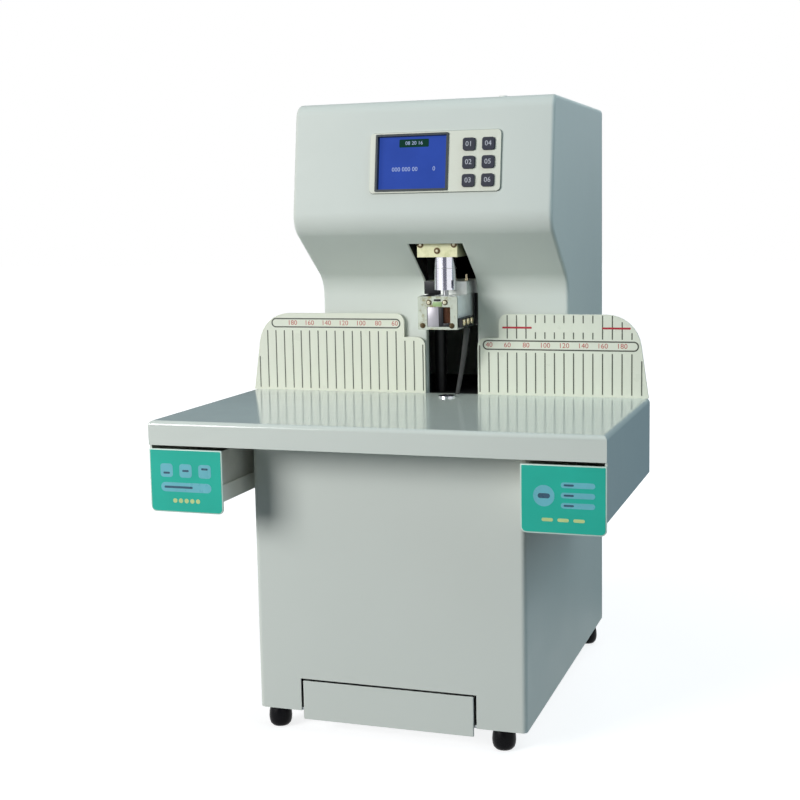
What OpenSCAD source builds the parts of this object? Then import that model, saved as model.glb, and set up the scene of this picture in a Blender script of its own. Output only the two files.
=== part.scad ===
// Binding machine that drills a paper stack and closes it with a hot-riveted tube.
// Millimetres, +Z up, front towards -Y. The origin lies on the floor under the middle of the part.

/* [Cabinet] */
// Width of the cabinet and of the head above it
cab_w = 271.5; // [250:0.5:290]
// Depth of the cabinet from front face to rear edge
cab_d = 386.5; // [370:0.5:410]
// Height from the underside of the cabinet to the table top
cab_h = 292.5; // [270:0.5:320]
// Thickness of the casing sheet
sheet = 1.5; // [1.2:0.1:1.8]
// Thickness of the floor plate
floor_t = 3; // [2:0.5:4]
// Radius of the upright front corners
corner_r = 5; // [3:0.5:8]
// How far the front panel turns back along the sides
front_return = 15; // [10:1:24]
// How far the rear cover lies inside the rear edges of the side panels
rear_recess = 2.5; // [2.2:0.1:4]
// Width of the flanges that the rear cover is screwed to
rear_flange = 15; // [12:1:20]
// Number of screws down each side of the rear cover
cover_screws = 4; // [3:1:6]
// Distance of the end screws from the ends of the rear cover
cover_screw_in = 30; // [20:1:50]

/* [Feet] */
// Diameter of a rubber foot
foot_d = 23; // [18:0.5:25]
// Height of a rubber foot
foot_h = 22; // [18:0.5:30]
// Radius of the rounded lower edge of a foot
foot_edge_r = 7; // [3:0.5:8]
// Front left foot, from the left side of the cabinet
foot_left_in = 15.6; // [12:0.1:30]
// Front right foot, from the right side of the cabinet
foot_right_in = 25.4; // [12:0.1:30]
// Rear feet, from the sides of the cabinet
foot_rear_side = 12.25; // [12:0.05:30]
// Distance of the front feet behind the cabinet front
foot_front_in = 14; // [13:0.5:40]
// Distance of the rear feet before the cabinet rear
foot_rear_in = 31; // [14:0.5:50]

/* [Worktable] */
// Width of the worktable
table_w = 439; // [420:1:460]
// Overhang of the table in front of the cabinet
table_overhang = 51.5; // [40:0.5:60]
// Depth of the table from its front to the stop plates
table_reach = 242.4; // [230:0.1:250]
// Depth of the table behind the face of the stop plates
table_tail = 3.1; // [2.8:0.1:4]
// Thickness of the table sheet
table_t = 2; // [1.5:0.1:2.5]
// Radius of the bent table edges
table_bend = 4.5; // [3:0.5:6]
// Height of the front lip
lip_h = 23.3; // [18:0.1:28]
// Height of the side skirts
skirt_h = 76.2; // [66:0.1:86]

/* [Stop plates] */
// Ruler zero and middle of the notch, to the right of the centre line
zero_x = 10.2; // [0:0.1:15]
// Height of a stop plate
stop_h = 85; // [75:1:95]
// Height of its low inner part
stop_low_h = 60; // [50:1:70]
// Thickness of a stop plate
stop_t = 2.5; // [1.5:0.1:2.6]
// Inner end of a stop plate, from the ruler zero
stop_inner = 29; // [28.7:0.1:34]
// Step between the low and the high part, from the ruler zero
stop_step = 52.2; // [45:0.1:60]
// How far the outer edge leans in at the top
stop_lean = 12.5; // [5:0.5:20]
// Radius of the outer top corner
stop_big_r = 36; // [20:1:40]
// Radius of the small top corners
stop_small_r = 9; // [4:0.5:10]
// Diameter of the pads that hold a stop plate to the column
stop_pad_d = 12; // [8:1:16]
// First pad of a stop plate, from its step
stop_pad_in = 12; // [8:1:16]
// Distance between the two pads of a stop plate
stop_pad_pitch = 48; // [30:1:50]
// Height of the pads above the table
stop_pad_up = 42; // [30:1:48]
// Distance of a stop plate's end from the table edge
stop_end_in = 0.7; // [0.5:0.1:3]
// Gap between the face of the stop plates and the column
stop_gap = 4.9; // [4.5:0.1:6]

/* [Head] */
// Height of the head above the table
head_h = 303.4; // [290:0.1:320]
// Height of the front face, from the nose corner to the top
face_h = 125.6; // [118:0.1:134]
// Height of the nose corner above the crook under the head
nose_rise = 59.5; // [54:0.1:64]
// How far the nose corner stands in front of the column
nose_reach = 81.5; // [76:0.1:90]
// Backward lean of the front face in degrees
lean = 8.5; // [7:0.1:10]
// Radius of the crook
crook_r = 30; // [15:1:34]
// Radius of the nose
nose_r = 26; // [15:1:30]
// Radius of the top front bend
top_r = 15; // [14:0.5:18]
// Width of the notch
notch_w = 56.5; // [55:0.5:58]
// Top of the notch below the nose corner
notch_drop = 17.8; // [15:0.1:22]
// Depth of the turned-in edges of the notch
notch_return = 12; // [8:0.5:13]

/* [Control panel] */
// Width of the bezel
bezel_w = 135.5; // [132:0.5:145]
// Height of the bezel
bezel_h = 60.2; // [59:0.1:66]
// Thickness of the bezel
bezel_t = 2; // [1.5:0.1:2.5]
// Corner radius of the bezel
bezel_r = 4; // [2:0.5:6]
// Middle of the bezel, from the centre line
bezel_x = 16; // [10:0.5:20]
// Middle of the bezel, up the face from the nose corner
bezel_up = 63.7; // [60:0.1:68]
// Width of the window behind the bezel
window_w = 127.5; // [127:0.5:129]
// Height of the window behind the bezel
window_h = 56.5; // [56:0.1:57]
// Width of the screen frame
lcd_w = 76.2; // [74:0.1:78]
// Height of the screen frame
lcd_h = 57.5; // [56:0.1:58]
// Middle of the screen, left of the bezel middle
lcd_left = 23.7; // [22:0.1:24]
// Width of the screen frame's border
lcd_border = 1; // [0.8:0.1:1.4]
// Width of the flange that rests on the bezel
lcd_flange = 1.2; // [1:0.1:1.6]
// How far the screen frame stands on the bezel
lcd_proud = 1.2; // [0.8:0.1:2]
// Depth of the screen below the front of its frame
lcd_recess = 6; // [4:0.5:7]
// Thickness of the screen
lcd_t = 4; // [3:0.5:5]
// Corner radius of the screen frame
lcd_r = 1; // [0.5:0.1:2]
// Side of a square key
key_w = 12.5; // [11:0.1:13]
// Corner radius of a key
key_r = 2.5; // [1:0.1:4]
// How far a key stands out of the bezel
key_proud = 1.8; // [1.5:0.1:3]
// Travel of a key
key_travel = 1; // [0.5:0.1:1.2]
// Middle of the key block, right of the bezel middle
keys_right = 45.5; // [45:0.1:46]
// Distance between the two key columns
key_pitch_x = 19.7; // [17:0.1:20]
// Distance between the three key rows
key_pitch_y = 17.9; // [17:0.1:18.5]
// How far the middle keys lie below the middle of the bezel
keys_drop = 1.7; // [0:0.1:1.8]
// Rim of a key behind the bezel
key_rim = 1.2; // [0.8:0.1:1.5]
// Thickness of that rim
key_rim_t = 1; // [0.8:0.1:1.2]
// Diameter of a key stem and of the switch below it
stem_d = 5; // [4:0.5:6]
// Height of a switch on the board
switch_h = 1.2; // [1:0.1:1.6]
// Thickness of a circuit board
board_t = 1.6; // [1.2:0.1:2]
// Diameter of the posts between bezel and board
boss_d = 2; // [1.5:0.1:2.2]
// Height of those posts above and below the bezel middle
boss_y = 21.5; // [18:0.5:22]

/* [Mechanism] */
// Drill axis, to the right of the ruler zero
drill_side = 2.8; // [0:0.1:3]
// Drill axis, in front of the stop plates
drill_front = 26; // [24:0.5:28]
// Diameter of the quill sleeve
sleeve_d = 23; // [20:0.5:24]
// Gap between the raised presser and the quill sleeve
sleeve_gap = 6; // [4:0.5:8]
// Height of the ring line above the end of the sleeve
ring_up = 24; // [18:0.5:28]
// Width of the ring line
ring_w = 0.8; // [0.5:0.1:1.5]
// Depth of the ring line
ring_t = 0.3; // [0.2:0.1:0.6]
// Width of the slot in the sleeve
slot_w = 3; // [2:0.5:4]
// Height of the slot in the sleeve
slot_h = 8; // [6:0.5:12]
// Height of the slot above the end of the sleeve
slot_up = 2; // [1:0.5:4]
// Direction of the slot in degrees
slot_turn = -35; // [-60:5:0]
// Diameter of the drill spindle
spindle_d = 14; // [12:0.5:15]
// Outer diameter of the hollow drill bit
bit_d = 6; // [4:0.5:7]
// Inner diameter of the hollow drill bit
bit_bore = 4; // [2:0.5:4]
// Length of the bit out of the spindle
bit_len = 76; // [74:0.5:80]
// Length of the bit inside the spindle
bit_socket = 20; // [12:1:30]
// Thickness of the feed carriage under the motor
feed_t = 10; // [8:0.5:12]
// Length of the feed carriage along the rods
feed_len = 28; // [20:1:36]
// Diameter of the collar on the spindle
spindle_collar_d = 22; // [18:0.5:26]
// Thickness of that collar
spindle_collar_t = 3; // [2:0.5:4]
// Gap between that collar and the sleeve at full stroke
feed_clear = 2; // [1:0.5:3]
// Thickness of the quill bracket
bracket_t = 18; // [14:0.5:18]
// Width of the front of the quill bracket
bracket_w = 43; // [40:0.5:48]
// Distance of the outer bracket screws from the ruler zero
bracket_screw_x = 17.8; // [14:0.1:17.9]
// Height of the outer bracket screws above the underside
bracket_screw_z = 12.8; // [7:0.1:14]
// Height of the middle bracket screw above the underside
bracket_screw_mid = 6.5; // [4:0.1:9]
// Depth of the cross bars that slide on the rods
cross_d = 28; // [27:0.5:30]
// Front of the bracket and of the presser, before the stop plates
mech_front = 45; // [43:0.5:46]
// Gap between the lowered presser and the table
press_clear = 2; // [1:0.5:4]
// Height of the presser block
presser_h = 34; // [30:0.5:36]
// Width of the presser block
presser_w = 41; // [38:0.5:44]
// Thickness of the zinc plate on the presser
presser_plate_t = 2; // [1.5:0.1:3]
// How much narrower the zinc plate is than the block
plate_short = 2; // [1:0.5:3]
// Distance of the lower plate screws from the plate's edges
plate_screw_in = 3.9; // [3.5:0.1:4.2]
// Height of the lower plate screws above the underside
plate_screw_low = 4.1; // [3.5:0.1:6]
// Distance between the upper plate screws
plate_screw_pitch = 17.2; // [12:0.1:24]
// Height of the upper plate screws above the underside
plate_screw_high = 27.9; // [26.5:0.1:29]
// Diameter of the plate screws' heads
plate_head_d = 6; // [5:0.5:7]
// Stroke of the presser
press_travel = 70; // [69:0.5:72]
// Width of the carriage block behind the presser, from their common right side
carriage_w = 46; // [42:0.5:47]
// Gap between the raised presser carriage and the quill bracket
carriage_gap = 26; // [22:0.5:34]
// Depth of the carriage block in front of the column's returns
carriage_front = 9.4; // [6:0.1:12]
// Outer diameter of the heater collar
collar_d = 22; // [20:0.5:24]
// Height of the heater collar
collar_h = 19; // [14:0.5:20]
// Height of the heater collar above the presser's underside
collar_up = 6; // [4:0.5:8]
// Room of the front window on each side of the collar
window_side = 1; // [0.5:0.1:1.4]
// How far the plate's window lies below the collar
window_drop = 3; // [1:0.5:3]
// Radial room around the drill spindle in the presser
spindle_room = 1; // [0.5:0.1:1.5]
// Diameter of the guide rods
rod_d = 16; // [12:0.5:20]
// Distance of a guide rod from the drill axis
rod_side = 48; // [44:0.5:52]
// Distance of rods and screws behind the column front
rod_back = 30; // [29:0.5:36]
// Diameter of the lead screws
screw_d = 12; // [10:0.5:14]
// Distance of a lead screw from the drill axis
screw_side = 25; // [24:0.5:27]
// Thickness of the frame plates
frame_t = 6; // [4:0.5:8]
// Distance of a frame plate from the drill axis
frame_side = 85; // [80:1:100]
// Depth of the frame plates
frame_d = 146; // [100:1:150]
// Gap between the notch returns and the frame
frame_gap = 3.5; // [3:0.1:5]
// Gap between the frame and the top of the head
frame_top_gap = 2.5; // [1:0.1:4]
// Thickness of the bed plate
bed_t = 8; // [6:0.5:12]
// Front of the bed, behind the cabinet front
bed_front = 67.5; // [60:0.5:80]
// Side of a square bed post
post_w = 25; // [20:1:30]
// Wall of a bed post
post_wall = 2; // [1.5:0.1:3]
// Gap between a bed post and the side panel
post_in = 12; // [6:1:16]
// Diameter of the drill motor
motor_d = 42; // [36:0.5:44]
// Length of the drill motor
motor_len = 39; // [34:0.5:44]
// Gap between the raised drill motor and the top of the head
motor_gap = 9.9; // [8:0.1:14]
// Side of a square screw motor
stepper_w = 42; // [35:0.5:48]
// Length of a screw motor
stepper_len = 48; // [34:1:60]
// Corner radius of a screw motor
stepper_r = 3; // [2:0.5:5]
// Least gap between the two screw motors
stepper_gap = 2; // [1:0.5:4]
// Diameter of the die ring
die_d = 18; // [16:0.5:22]
// Diameter of the die hole
die_bore = 7.5; // [7.5:0.1:9]
// How far the die ring stands above the table
die_proud = 1.6; // [0.2:0.1:1.8]
// Width of the die plate
die_plate_w = 30; // [26:0.5:36]
// Depth of the die plate
die_plate_d = 38; // [36:0.5:39]
// Diameter of the lower rivet heater
lower_heater_d = 30; // [24:1:36]
// Height of the lower rivet heater
lower_heater_h = 20; // [12:1:30]
// Radial room of the lower heater around the die hole
chip_room = 0.75; // [0.5:0.05:2]
// Outer side of the square chip chute
chute_w = 50; // [44:1:56]
// Gap between the chute and the tray
chute_clear = 3; // [2:0.5:6]
// Width of the flat heater lead
lead_w = 6; // [4:0.5:8]
// Thickness of the flat heater lead
lead_t = 2; // [1:0.1:2.5]
// Place of the lead's lower end, right of the drill axis
lead_side = 4.5; // [4:0.5:8]
// Place of the lead's upper end, behind the drill axis
lead_back = 2; // [0:0.5:8]
// Gap between the top of the heater lead and the presser's side
lead_gap = 1; // [0.8:0.1:2]
// Thickness of the terminal block
terminal_t = 4.5; // [3.5:0.1:6]
// Depth of the terminal block
terminal_d = 42; // [36:0.5:43]
// Height of the terminal block
terminal_h = 9.5; // [8:0.5:16]
// Height of the terminal block above the presser's underside
terminal_up = 2; // [1:0.5:6]
// Brass fitting, from the right side of the carriage
fitting_in = 4; // [3.5:0.5:6]
// Brass fitting, behind the carriage front
fitting_back = 15; // [8:0.5:16]
// Diameter of the fitting's flange
fitting_d = 4.5; // [4:0.5:6]
// Thickness of the fitting's flange
fitting_t = 2; // [1.5:0.5:4]
// Diameter of the fitting's stem
fitting_stem_d = 2.5; // [2:0.5:3.5]
// Height of the fitting's stem
fitting_stem_h = 4.5; // [3:0.5:7]

/* [Drawers] */
// Width of a drawer front
drawer_front_w = 76; // [74:0.5:78]
// Height of a drawer front
drawer_front_h = 61; // [56:0.5:62]
// Thickness of a drawer front
drawer_front_t = 2; // [1.5:0.1:3]
// Gap between the table lip and a drawer front
drawer_top_gap = 3.4; // [2:0.1:5]
// Radius of the lower corners of a drawer front
drawer_corner_r = 5; // [2:0.5:8]
// Radius of the upper corners of a drawer front
drawer_top_r = 0.5; // [0.3:0.1:2]
// Length of a drawer tub
drawer_len = 225; // [180:1:232]
// Height of a drawer tub
drawer_h = 46; // [36:0.5:48]
// Wall of a tub
tub_wall = 1.2; // [1:0.1:2]
// Width of a drawer channel between the skirt and the outside of its inner flange
channel_w = 72.7; // [71:0.1:74]
// Height of the inner flange of a drawer channel
channel_lip = 16; // [10:0.5:20]

/* [Scrap tray] */
// Width of the tray front
tray_front_w = 173.5; // [150:0.5:174]
// Height of the tray front
tray_front_h = 39; // [36:0.5:42]
// Thickness of the tray front
tray_front_t = 1.5; // [1.2:0.1:2]
// How far the tray front stands out of the cabinet
tray_proud = 1; // [0.5:0.1:1.2]
// How far the tub lies inside each end of the tray front
tray_side_in = 2.75; // [2:0.25:5]
// Width of the opening in the cabinet front
tray_open_w = 178.6; // [177:0.1:190]
// Height of the opening in the cabinet front
tray_open_h = 32.7; // [28:0.1:36]
// Middle of the tray, from the centre line
tray_x = -2; // [-5:0.5:5]
// Gap above the tray front
tray_gap = 1.8; // [1:0.1:3]
// Length of the tray tub
tray_len = 190; // [180:1:210]
// Height of the tray tub
tray_h = 23; // [18:0.5:25]
// Height of the tray rails
rail_h = 12; // [8:0.5:20]
// Length of the tray rails
rail_len = 150; // [100:1:180]
// Thickness of a tray rail
rail_t = 2; // [1.5:0.1:3]
// Distance of the rails behind the cabinet front
rail_in = 20; // [16:1:30]

/* [Rear and inside] */
// Width of the power inlet
inlet_w = 28; // [24:0.5:32]
// Height of the power inlet
inlet_h = 48; // [46:0.5:56]
// Depth of the power inlet body
inlet_d = 24; // [20:0.5:30]
// Middle of the power inlet, from the inside of the right panel
inlet_in = 54.25; // [54:0.05:90]
// Middle of the power inlet above the cabinet floor
inlet_z = 60; // [50:1:80]
// Width of the rim behind the rear cover
inlet_lip = 5; // [4:0.5:6]
// Width of the socket
socket_w = 20; // [18:0.5:22]
// Height of the socket
socket_h = 13; // [12:0.5:15]
// Depth of the socket
socket_d = 16; // [12:0.5:18]
// Middle of the socket, below the middle of the inlet
socket_down = 9; // [8.5:0.5:12]
// Width of a pin in the socket
pin_w = 2; // [1.5:0.1:2.5]
// Height of a pin in the socket
pin_h = 4; // [3:0.1:4.5]
// Distance between the pins
pin_pitch = 7; // [6:0.5:7.5]
// How far the middle pin lies up, and the others down
pin_raise = 2; // [1:0.5:3]
// How far the pins end below the rear cover
pin_below = 5; // [4:0.5:8]
// Width of the rocker
rocker_w = 13; // [10:0.5:14]
// Height of the rocker
rocker_h = 18; // [15:0.5:19]
// Depth of the rocker behind the face of the inlet
rocker_d = 8; // [6:0.5:9]
// How far the rocker stands out of the face of the inlet
rocker_proud = 0.6; // [0.3:0.1:1]
// Middle of the rocker, above the middle of the inlet
rocker_up = 12; // [11.5:0.5:12]
// Depth of the rocker's axle behind the face of the inlet
axle_in = 4.5; // [4:0.1:5]
// Diameter of the rocker's axle
axle_d = 3; // [2:0.1:4]
// How far the axle stands out of each side of the rocker
axle_end = 3; // [2:0.5:4]
// Depth of the rocker's well
well_d = 11; // [10.5:0.5:13]
// Room for the tilt above and below the rocker
well_room = 2; // [1.5:0.1:2.5]
// Number of vent slots in the rear cover
vent_count = 9; // [4:1:10]
// Distance between vent slots
vent_pitch = 12; // [10:0.5:13]
// Length of a vent slot
vent_len = 90; // [60:1:110]
// Width of a vent slot
vent_w = 4; // [3:0.5:6]
// Width of the power supply
supply_w = 100; // [80:1:110]
// Depth of the power supply
supply_d = 110; // [90:1:115]
// Height of the power supply
supply_h = 60; // [40:1:80]
// Distance of the power supply from the left side panel
supply_in = 36; // [20:1:40]
// Gap between the power supply and the rear posts
supply_gap = 10; // [5:1:20]
// Width of the main board
main_w = 96; // [80:1:100]
// Depth of the main board
main_d = 100; // [80:1:110]
// Left end of the main board, from the centre line
main_x = 15; // [10:1:20]
// Diameter of the board's standoffs
standoff_d = 6; // [4:0.5:8]
// Height of the board's standoffs
standoff_h = 8; // [5:0.5:12]
// Distance of the standoffs from the board's edges
standoff_in = 9; // [5:0.5:12]
// Side of the heat sink on the board
sink_w = 30; // [20:1:34]
// Height of the heat sink
sink_h = 18; // [10:1:30]
// Number of capacitors on the board
cap_count = 4; // [2:1:4]
// Diameter of a capacitor
cap_d = 8; // [6:0.5:9]
// Height of a capacitor
cap_h = 20; // [12:0.5:30]
// Distance between the capacitors
cap_pitch = 10; // [9.5:0.5:11]
// Height of the bush on the head
bush_h = 5; // [4:0.5:14]
// Diameter of the bush flange
bush_flange_d = 18; // [16:0.5:22]
// Thickness of the bush flange
bush_flange_t = 2.5; // [2:0.1:4]
// Diameter of the bush
bush_d = 9; // [8:0.5:12]
// Bore of the bush
bush_bore = 6; // [4:0.5:7]
// Place of the bush, from the centre line
bush_x = 67.5; // [50:0.5:90]
// Place of the bush behind the column front
bush_back = 2; // [0:0.5:4]
// Diameter of a screw head
head_d = 7; // [5:0.5:8]
// Height of a screw head
head_t = 2; // [1.5:0.1:2.1]

/* [Fits] */
// Radial clearance of a running fit
fit = 0.05; // [0.02:0.01:0.1]
// Clearance between sliding faces
slide_gap = 0.2; // [0.1:0.05:0.4]
// Side clearance of drawers, keys and loose parts
side_gap = 0.5; // [0.3:0.05:0.8]
// Gap between the drawer fronts and the table behind them
panel_gap = 0.5; // [0.3:0.05:0.8]
// Radial clearance where a shaft passes without a bearing
pass_gap = 0.5; // [0.3:0.1:1]
// Gap between the posts of the bezel and the screen frame
boss_gap = 0.4; // [0.3:0.1:0.6]
// Gap between a board and the window around it
board_gap = 0.5; // [0.3:0.1:1]

/* [Hidden] */
$fn = 64;

// Overshoot of a cut past the face it opens
cut = 1;
// Straight pieces in a rounded outline corner
arc_n = 8;

// Levels
floor_z = foot_h;
table_z = foot_h + cab_h;
bed_z = table_z - table_t;
top_z = table_z + head_h;
nose_z = top_z - face_h;
notch_z = nose_z - notch_drop;

// Depth lines
front_y = -(cab_d + table_overhang) / 2;
rear_y = -front_y;
cab_y = front_y + table_overhang;
stop_y = front_y + table_reach;
table_rear = stop_y + table_tail;
column_y = stop_y + stop_gap;
cover_y = rear_y - rear_recess - sheet;
rod_y = column_y + rod_back;

// Width lines
cab_half = cab_w / 2;
cab_in = cab_half - sheet;
table_half = table_w / 2;
drill_x = zero_x + drill_side;
drill_y = stop_y - drill_front;

// Side profile of the head as [y, z]: column foot, crook, nose, top front and top rear
profile = [
    [column_y, bed_z],
    [column_y, nose_z - nose_rise],
    [column_y - nose_reach, nose_z],
    [column_y - nose_reach + tan(lean) * face_h, top_z],
    [rear_y, top_z]
];
profile_r = [0, crook_r, nose_r, top_r, 0];

// Rounded outlines
function unit(v) = v / norm(v);
function side_of(a, b) = a.x * b.y - a.y * b.x;
function arc_at(a, b, c, r) =
    r <= 0 ? [b] :
    let (
        u = unit(a - b),
        v = unit(c - b),
        half = acos(u * v) / 2,
        centre = b + unit(u + v) * r / sin(half),
        from = b + u * r / tan(half) - centre,
        to = b + v * r / tan(half) - centre,
        start = atan2(from.y, from.x),
        sweep = (atan2(to.y, to.x) - start + 540) % 360 - 180
    )
    [for (i = [0:arc_n]) centre + r * [cos(start + sweep * i / arc_n), sin(start + sweep * i / arc_n)]];
function open_path(p, r) =
    let (last = len(p) - 1)
    concat(
        [p[0]],
        [for (i = [1:last - 1]) each arc_at(p[i - 1], p[i], p[i + 1], r[i])],
        [p[last]]
    );
function closed_path(p, r) =
    let (n = len(p))
    [for (i = [0:n - 1]) each arc_at(p[(i + n - 1) % n], p[i], p[(i + 1) % n], r[i])];
function left_of(a, b) = let (d = unit(b - a)) [-d.y, d.x];
function moved_path(p, d) =
    let (last = len(p) - 1)
    [for (i = [0:last])
        i == 0 ? p[0] + d * left_of(p[0], p[1]) :
        i == last ? p[last] + d * left_of(p[last - 1], p[last]) :
        let (m = left_of(p[i - 1], p[i]), n = left_of(p[i], p[i + 1]))
        p[i] + d * (m + n) / (1 + m * n)];
function moved_radii(p, r, d) =
    [for (i = [0:len(p) - 1])
        r[i] <= 0 ? 0 :
        side_of(p[i] - p[i - 1], p[i + 1] - p[i]) > 0 ? r[i] - d : r[i] + d];
function reversed(p) = [for (i = [len(p) - 1:-1:0]) p[i]];
function inner_profile(d) = open_path(moved_path(profile, -d), moved_radii(profile, profile_r, -d));

// Solids between two corners, and outlines extruded along X or Y
module box(a, b) {
    translate(a) cube(b - a);
}
module along_x(x0, x1) {
    translate([x0, 0, 0]) rotate([90, 0, 90]) linear_extrude(x1 - x0) children();
}
module along_y(y0, y1) {
    translate([0, y1, 0]) rotate([90, 0, 0]) linear_extrude(y1 - y0) children();
}
module rounded_square(w, h, r) {
    square([w - 2 * r, h], center = true);
    square([w, h - 2 * r], center = true);
    for (x = [-1, 1], y = [-1, 1]) translate([x * (w / 2 - r), y * (h / 2 - r)]) circle(r);
}
module rod(x, y, z0, z1, d) {
    translate([x, y, z0]) cylinder(h = z1 - z0, d = d);
}
module bore(x, y, z0, z1, d) {
    rod(x, y, z0 - cut, z1 + cut, d + 2 * fit);
}

// Open-topped tub of sheet between two outer corners
module tub(a, b) {
    difference() {
        box(a, b);
        box(a + [tub_wall, tub_wall, tub_wall], b + [-tub_wall, -tub_wall, cut]);
    }
}

// Frame on the leaning face: x across, y up the face, z outward
module on_face() {
    translate([0, profile[2].x, profile[2].y]) rotate([90 - lean, 0, 0]) children();
}

// Cabinet

tray_left = tray_x - tray_front_w / 2;
tray_right = tray_x + tray_front_w / 2;
tray_tub_w = tray_front_w - 2 * tray_side_in;
tray_rail_in = tray_tub_w / 2 + side_gap;
tray_rail_y = cab_y + rail_in;

module base_plate() color("gainsboro") {
    translate([0, 0, floor_z]) linear_extrude(floor_t) polygon(closed_path([
        [-cab_in, cab_y + sheet],
        [cab_in, cab_y + sheet],
        [cab_in, cover_y],
        [-cab_in, cover_y]
    ], [corner_r, corner_r, 0, 0]));
    for (s = [-1, 1]) {
        near = tray_x + s * tray_rail_in;
        far = tray_x + s * (tray_rail_in + rail_t);
        box([min(near, far), tray_rail_y, floor_z + floor_t],
            [max(near, far), tray_rail_y + rail_len, floor_z + floor_t + rail_h]);
    }
}

module base_front_panel() color("lightgray") difference() {
    translate([0, cab_y, floor_z]) linear_extrude(bed_z - floor_z) difference() {
        translate([0, cab_w / 2]) rounded_square(cab_w, cab_w, corner_r);
        translate([0, cab_w / 2]) rounded_square(cab_w - 2 * sheet, cab_w - 2 * sheet, corner_r - sheet);
        translate([-cab_w, front_return]) square([2 * cab_w, cab_w]);
    }
    box([tray_x - tray_open_w / 2, cab_y - cut, floor_z - cut],
        [tray_x + tray_open_w / 2, cab_y + sheet + cut, floor_z + tray_open_h]);
}

module side_panel(s) color("lightgray") {
    outer = s * cab_half;
    inner = s * cab_in;
    along_x(min(inner, outer), max(inner, outer)) polygon(concat(
        inner_profile(sheet),
        [[rear_y, floor_z], [cab_y + front_return, floor_z], [cab_y + front_return, bed_z]]
    ));
    flange = s * (cab_in - rear_flange);
    box([min(inner, flange), cover_y - sheet, floor_z + floor_t],
        [max(inner, flange), cover_y, top_z - sheet]);
}
module left_side_panel() side_panel(-1);
module right_side_panel() side_panel(1);

cover_screw_pitch = (top_z - floor_z - 2 * cover_screw_in) / (cover_screws - 1);
cover_screw_z = [for (i = [0:cover_screws - 1]) floor_z + cover_screw_in + i * cover_screw_pitch];
vent_z = table_z + head_h / 2;

module rear_cover() color("lightgray") difference() {
    box([-cab_in, cover_y, floor_z], [cab_in, cover_y + sheet, top_z - sheet]);
    for (i = [0:vent_count - 1]) {
        z = vent_z + (i - (vent_count - 1) / 2) * vent_pitch;
        box([-vent_len / 2, cover_y - cut, z - vent_w / 2],
            [vent_len / 2, cover_y + sheet + cut, z + vent_w / 2]);
    }
    translate([inlet_x, 0, floor_z + inlet_z]) along_y(cover_y - cut, cover_y + sheet + cut)
        square([inlet_w, inlet_h], center = true);
}

module foot() {
    rotate_extrude() {
        square([foot_d / 2 - foot_edge_r, foot_h]);
        translate([0, foot_edge_r]) square([foot_d / 2, foot_h - foot_edge_r]);
        intersection() {
            translate([foot_d / 2 - foot_edge_r, foot_edge_r]) circle(foot_edge_r);
            square(foot_d);
        }
    }
}
module rubber_feet() color("black") {
    for (x = [foot_left_in - cab_half, cab_half - foot_right_in])
        translate([x, cab_y + foot_front_in, 0]) foot();
    for (x = [foot_rear_side - cab_half, cab_half - foot_rear_side])
        translate([x, rear_y - foot_rear_in, 0]) foot();
}

// Bed and frame

post_x = cab_in - post_w / 2 - post_in;
bed_y0 = cab_y + bed_front;
bed_y1 = cover_y - sheet;
frame_y = column_y + notch_return + frame_gap;
frame_top_z = top_z - sheet - frame_top_gap - frame_t;
presser_z0 = table_z + press_travel + press_clear;
presser_z1 = presser_z0 + presser_h;
feed_travel = presser_z0 - bed_z;
feed_z0 = top_z - sheet - motor_gap - motor_len - feed_t;
bracket_z1 = feed_z0 - spindle_collar_t - feed_clear - feed_travel;
bracket_z0 = bracket_z1 - bracket_t;
sleeve_z0 = presser_z1 + sleeve_gap;
carriage_z1 = bracket_z0 - carriage_gap;
press_x = drill_x - screw_side;
feed_x = drill_x + screw_side;
rod_x = [drill_x - rod_side, drill_x + rod_side];

module frame_posts() color("dimgray") {
    for (x = [-post_x, post_x], y = [bed_y0 + post_w, bed_y1 - post_w]) {
        translate([x, y, floor_z + floor_t]) linear_extrude(bed_z - bed_t - floor_z - floor_t) difference() {
            square(post_w, center = true);
            square(post_w - 2 * post_wall, center = true);
        }
    }
}

module bed_plate() color("dimgray") difference() {
    box([-cab_in, bed_y0, bed_z - bed_t], [cab_in, bed_y1, bed_z]);
    bore(drill_x, drill_y, bed_z - bed_t / 2, bed_z, die_d);
    rod(drill_x, drill_y, bed_z - bed_t - cut, bed_z, die_bore);
    for (x = [press_x, feed_x]) bore(x, rod_y, bed_z - bed_t, bed_z, screw_d);
}

module frame_plates() color("dimgray") {
    for (s = [-1, 1]) {
        near = drill_x + s * frame_side;
        far = near + s * frame_t;
        box([min(near, far), frame_y, bed_z], [max(near, far), frame_y + frame_d, frame_top_z]);
    }
}

module frame_top_plate() color("dimgray") difference() {
    box([drill_x - frame_side - frame_t, frame_y, frame_top_z],
        [drill_x + frame_side + frame_t, frame_y + frame_d, frame_top_z + frame_t]);
    for (x = rod_x) bore(x, rod_y, frame_top_z, frame_top_z + frame_t, rod_d);
    bore(feed_x, rod_y, frame_top_z, frame_top_z + frame_t, screw_d);
}

module guide_rods() color("silver") {
    for (x = rod_x) rod(x, rod_y, bed_z, frame_top_z + frame_t, rod_d);
}

module quill_bracket() color("khaki") difference() {
    union() {
        box([zero_x - bracket_w / 2, stop_y - mech_front, bracket_z0],
            [zero_x + bracket_w / 2, frame_y, bracket_z1]);
        box([drill_x - frame_side, frame_y, bracket_z0],
            [drill_x + frame_side, frame_y + cross_d, bracket_z1]);
    }
    bore(drill_x, drill_y, bracket_z0, bracket_z1, sleeve_d);
    for (x = rod_x) bore(x, rod_y, bracket_z0, bracket_z1, rod_d);
    bore(press_x, rod_y, bracket_z0, bracket_z1, screw_d);
    rod(feed_x, rod_y, bracket_z0 - cut, bracket_z1 + cut, screw_d + 2 * pass_gap);
}

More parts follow.
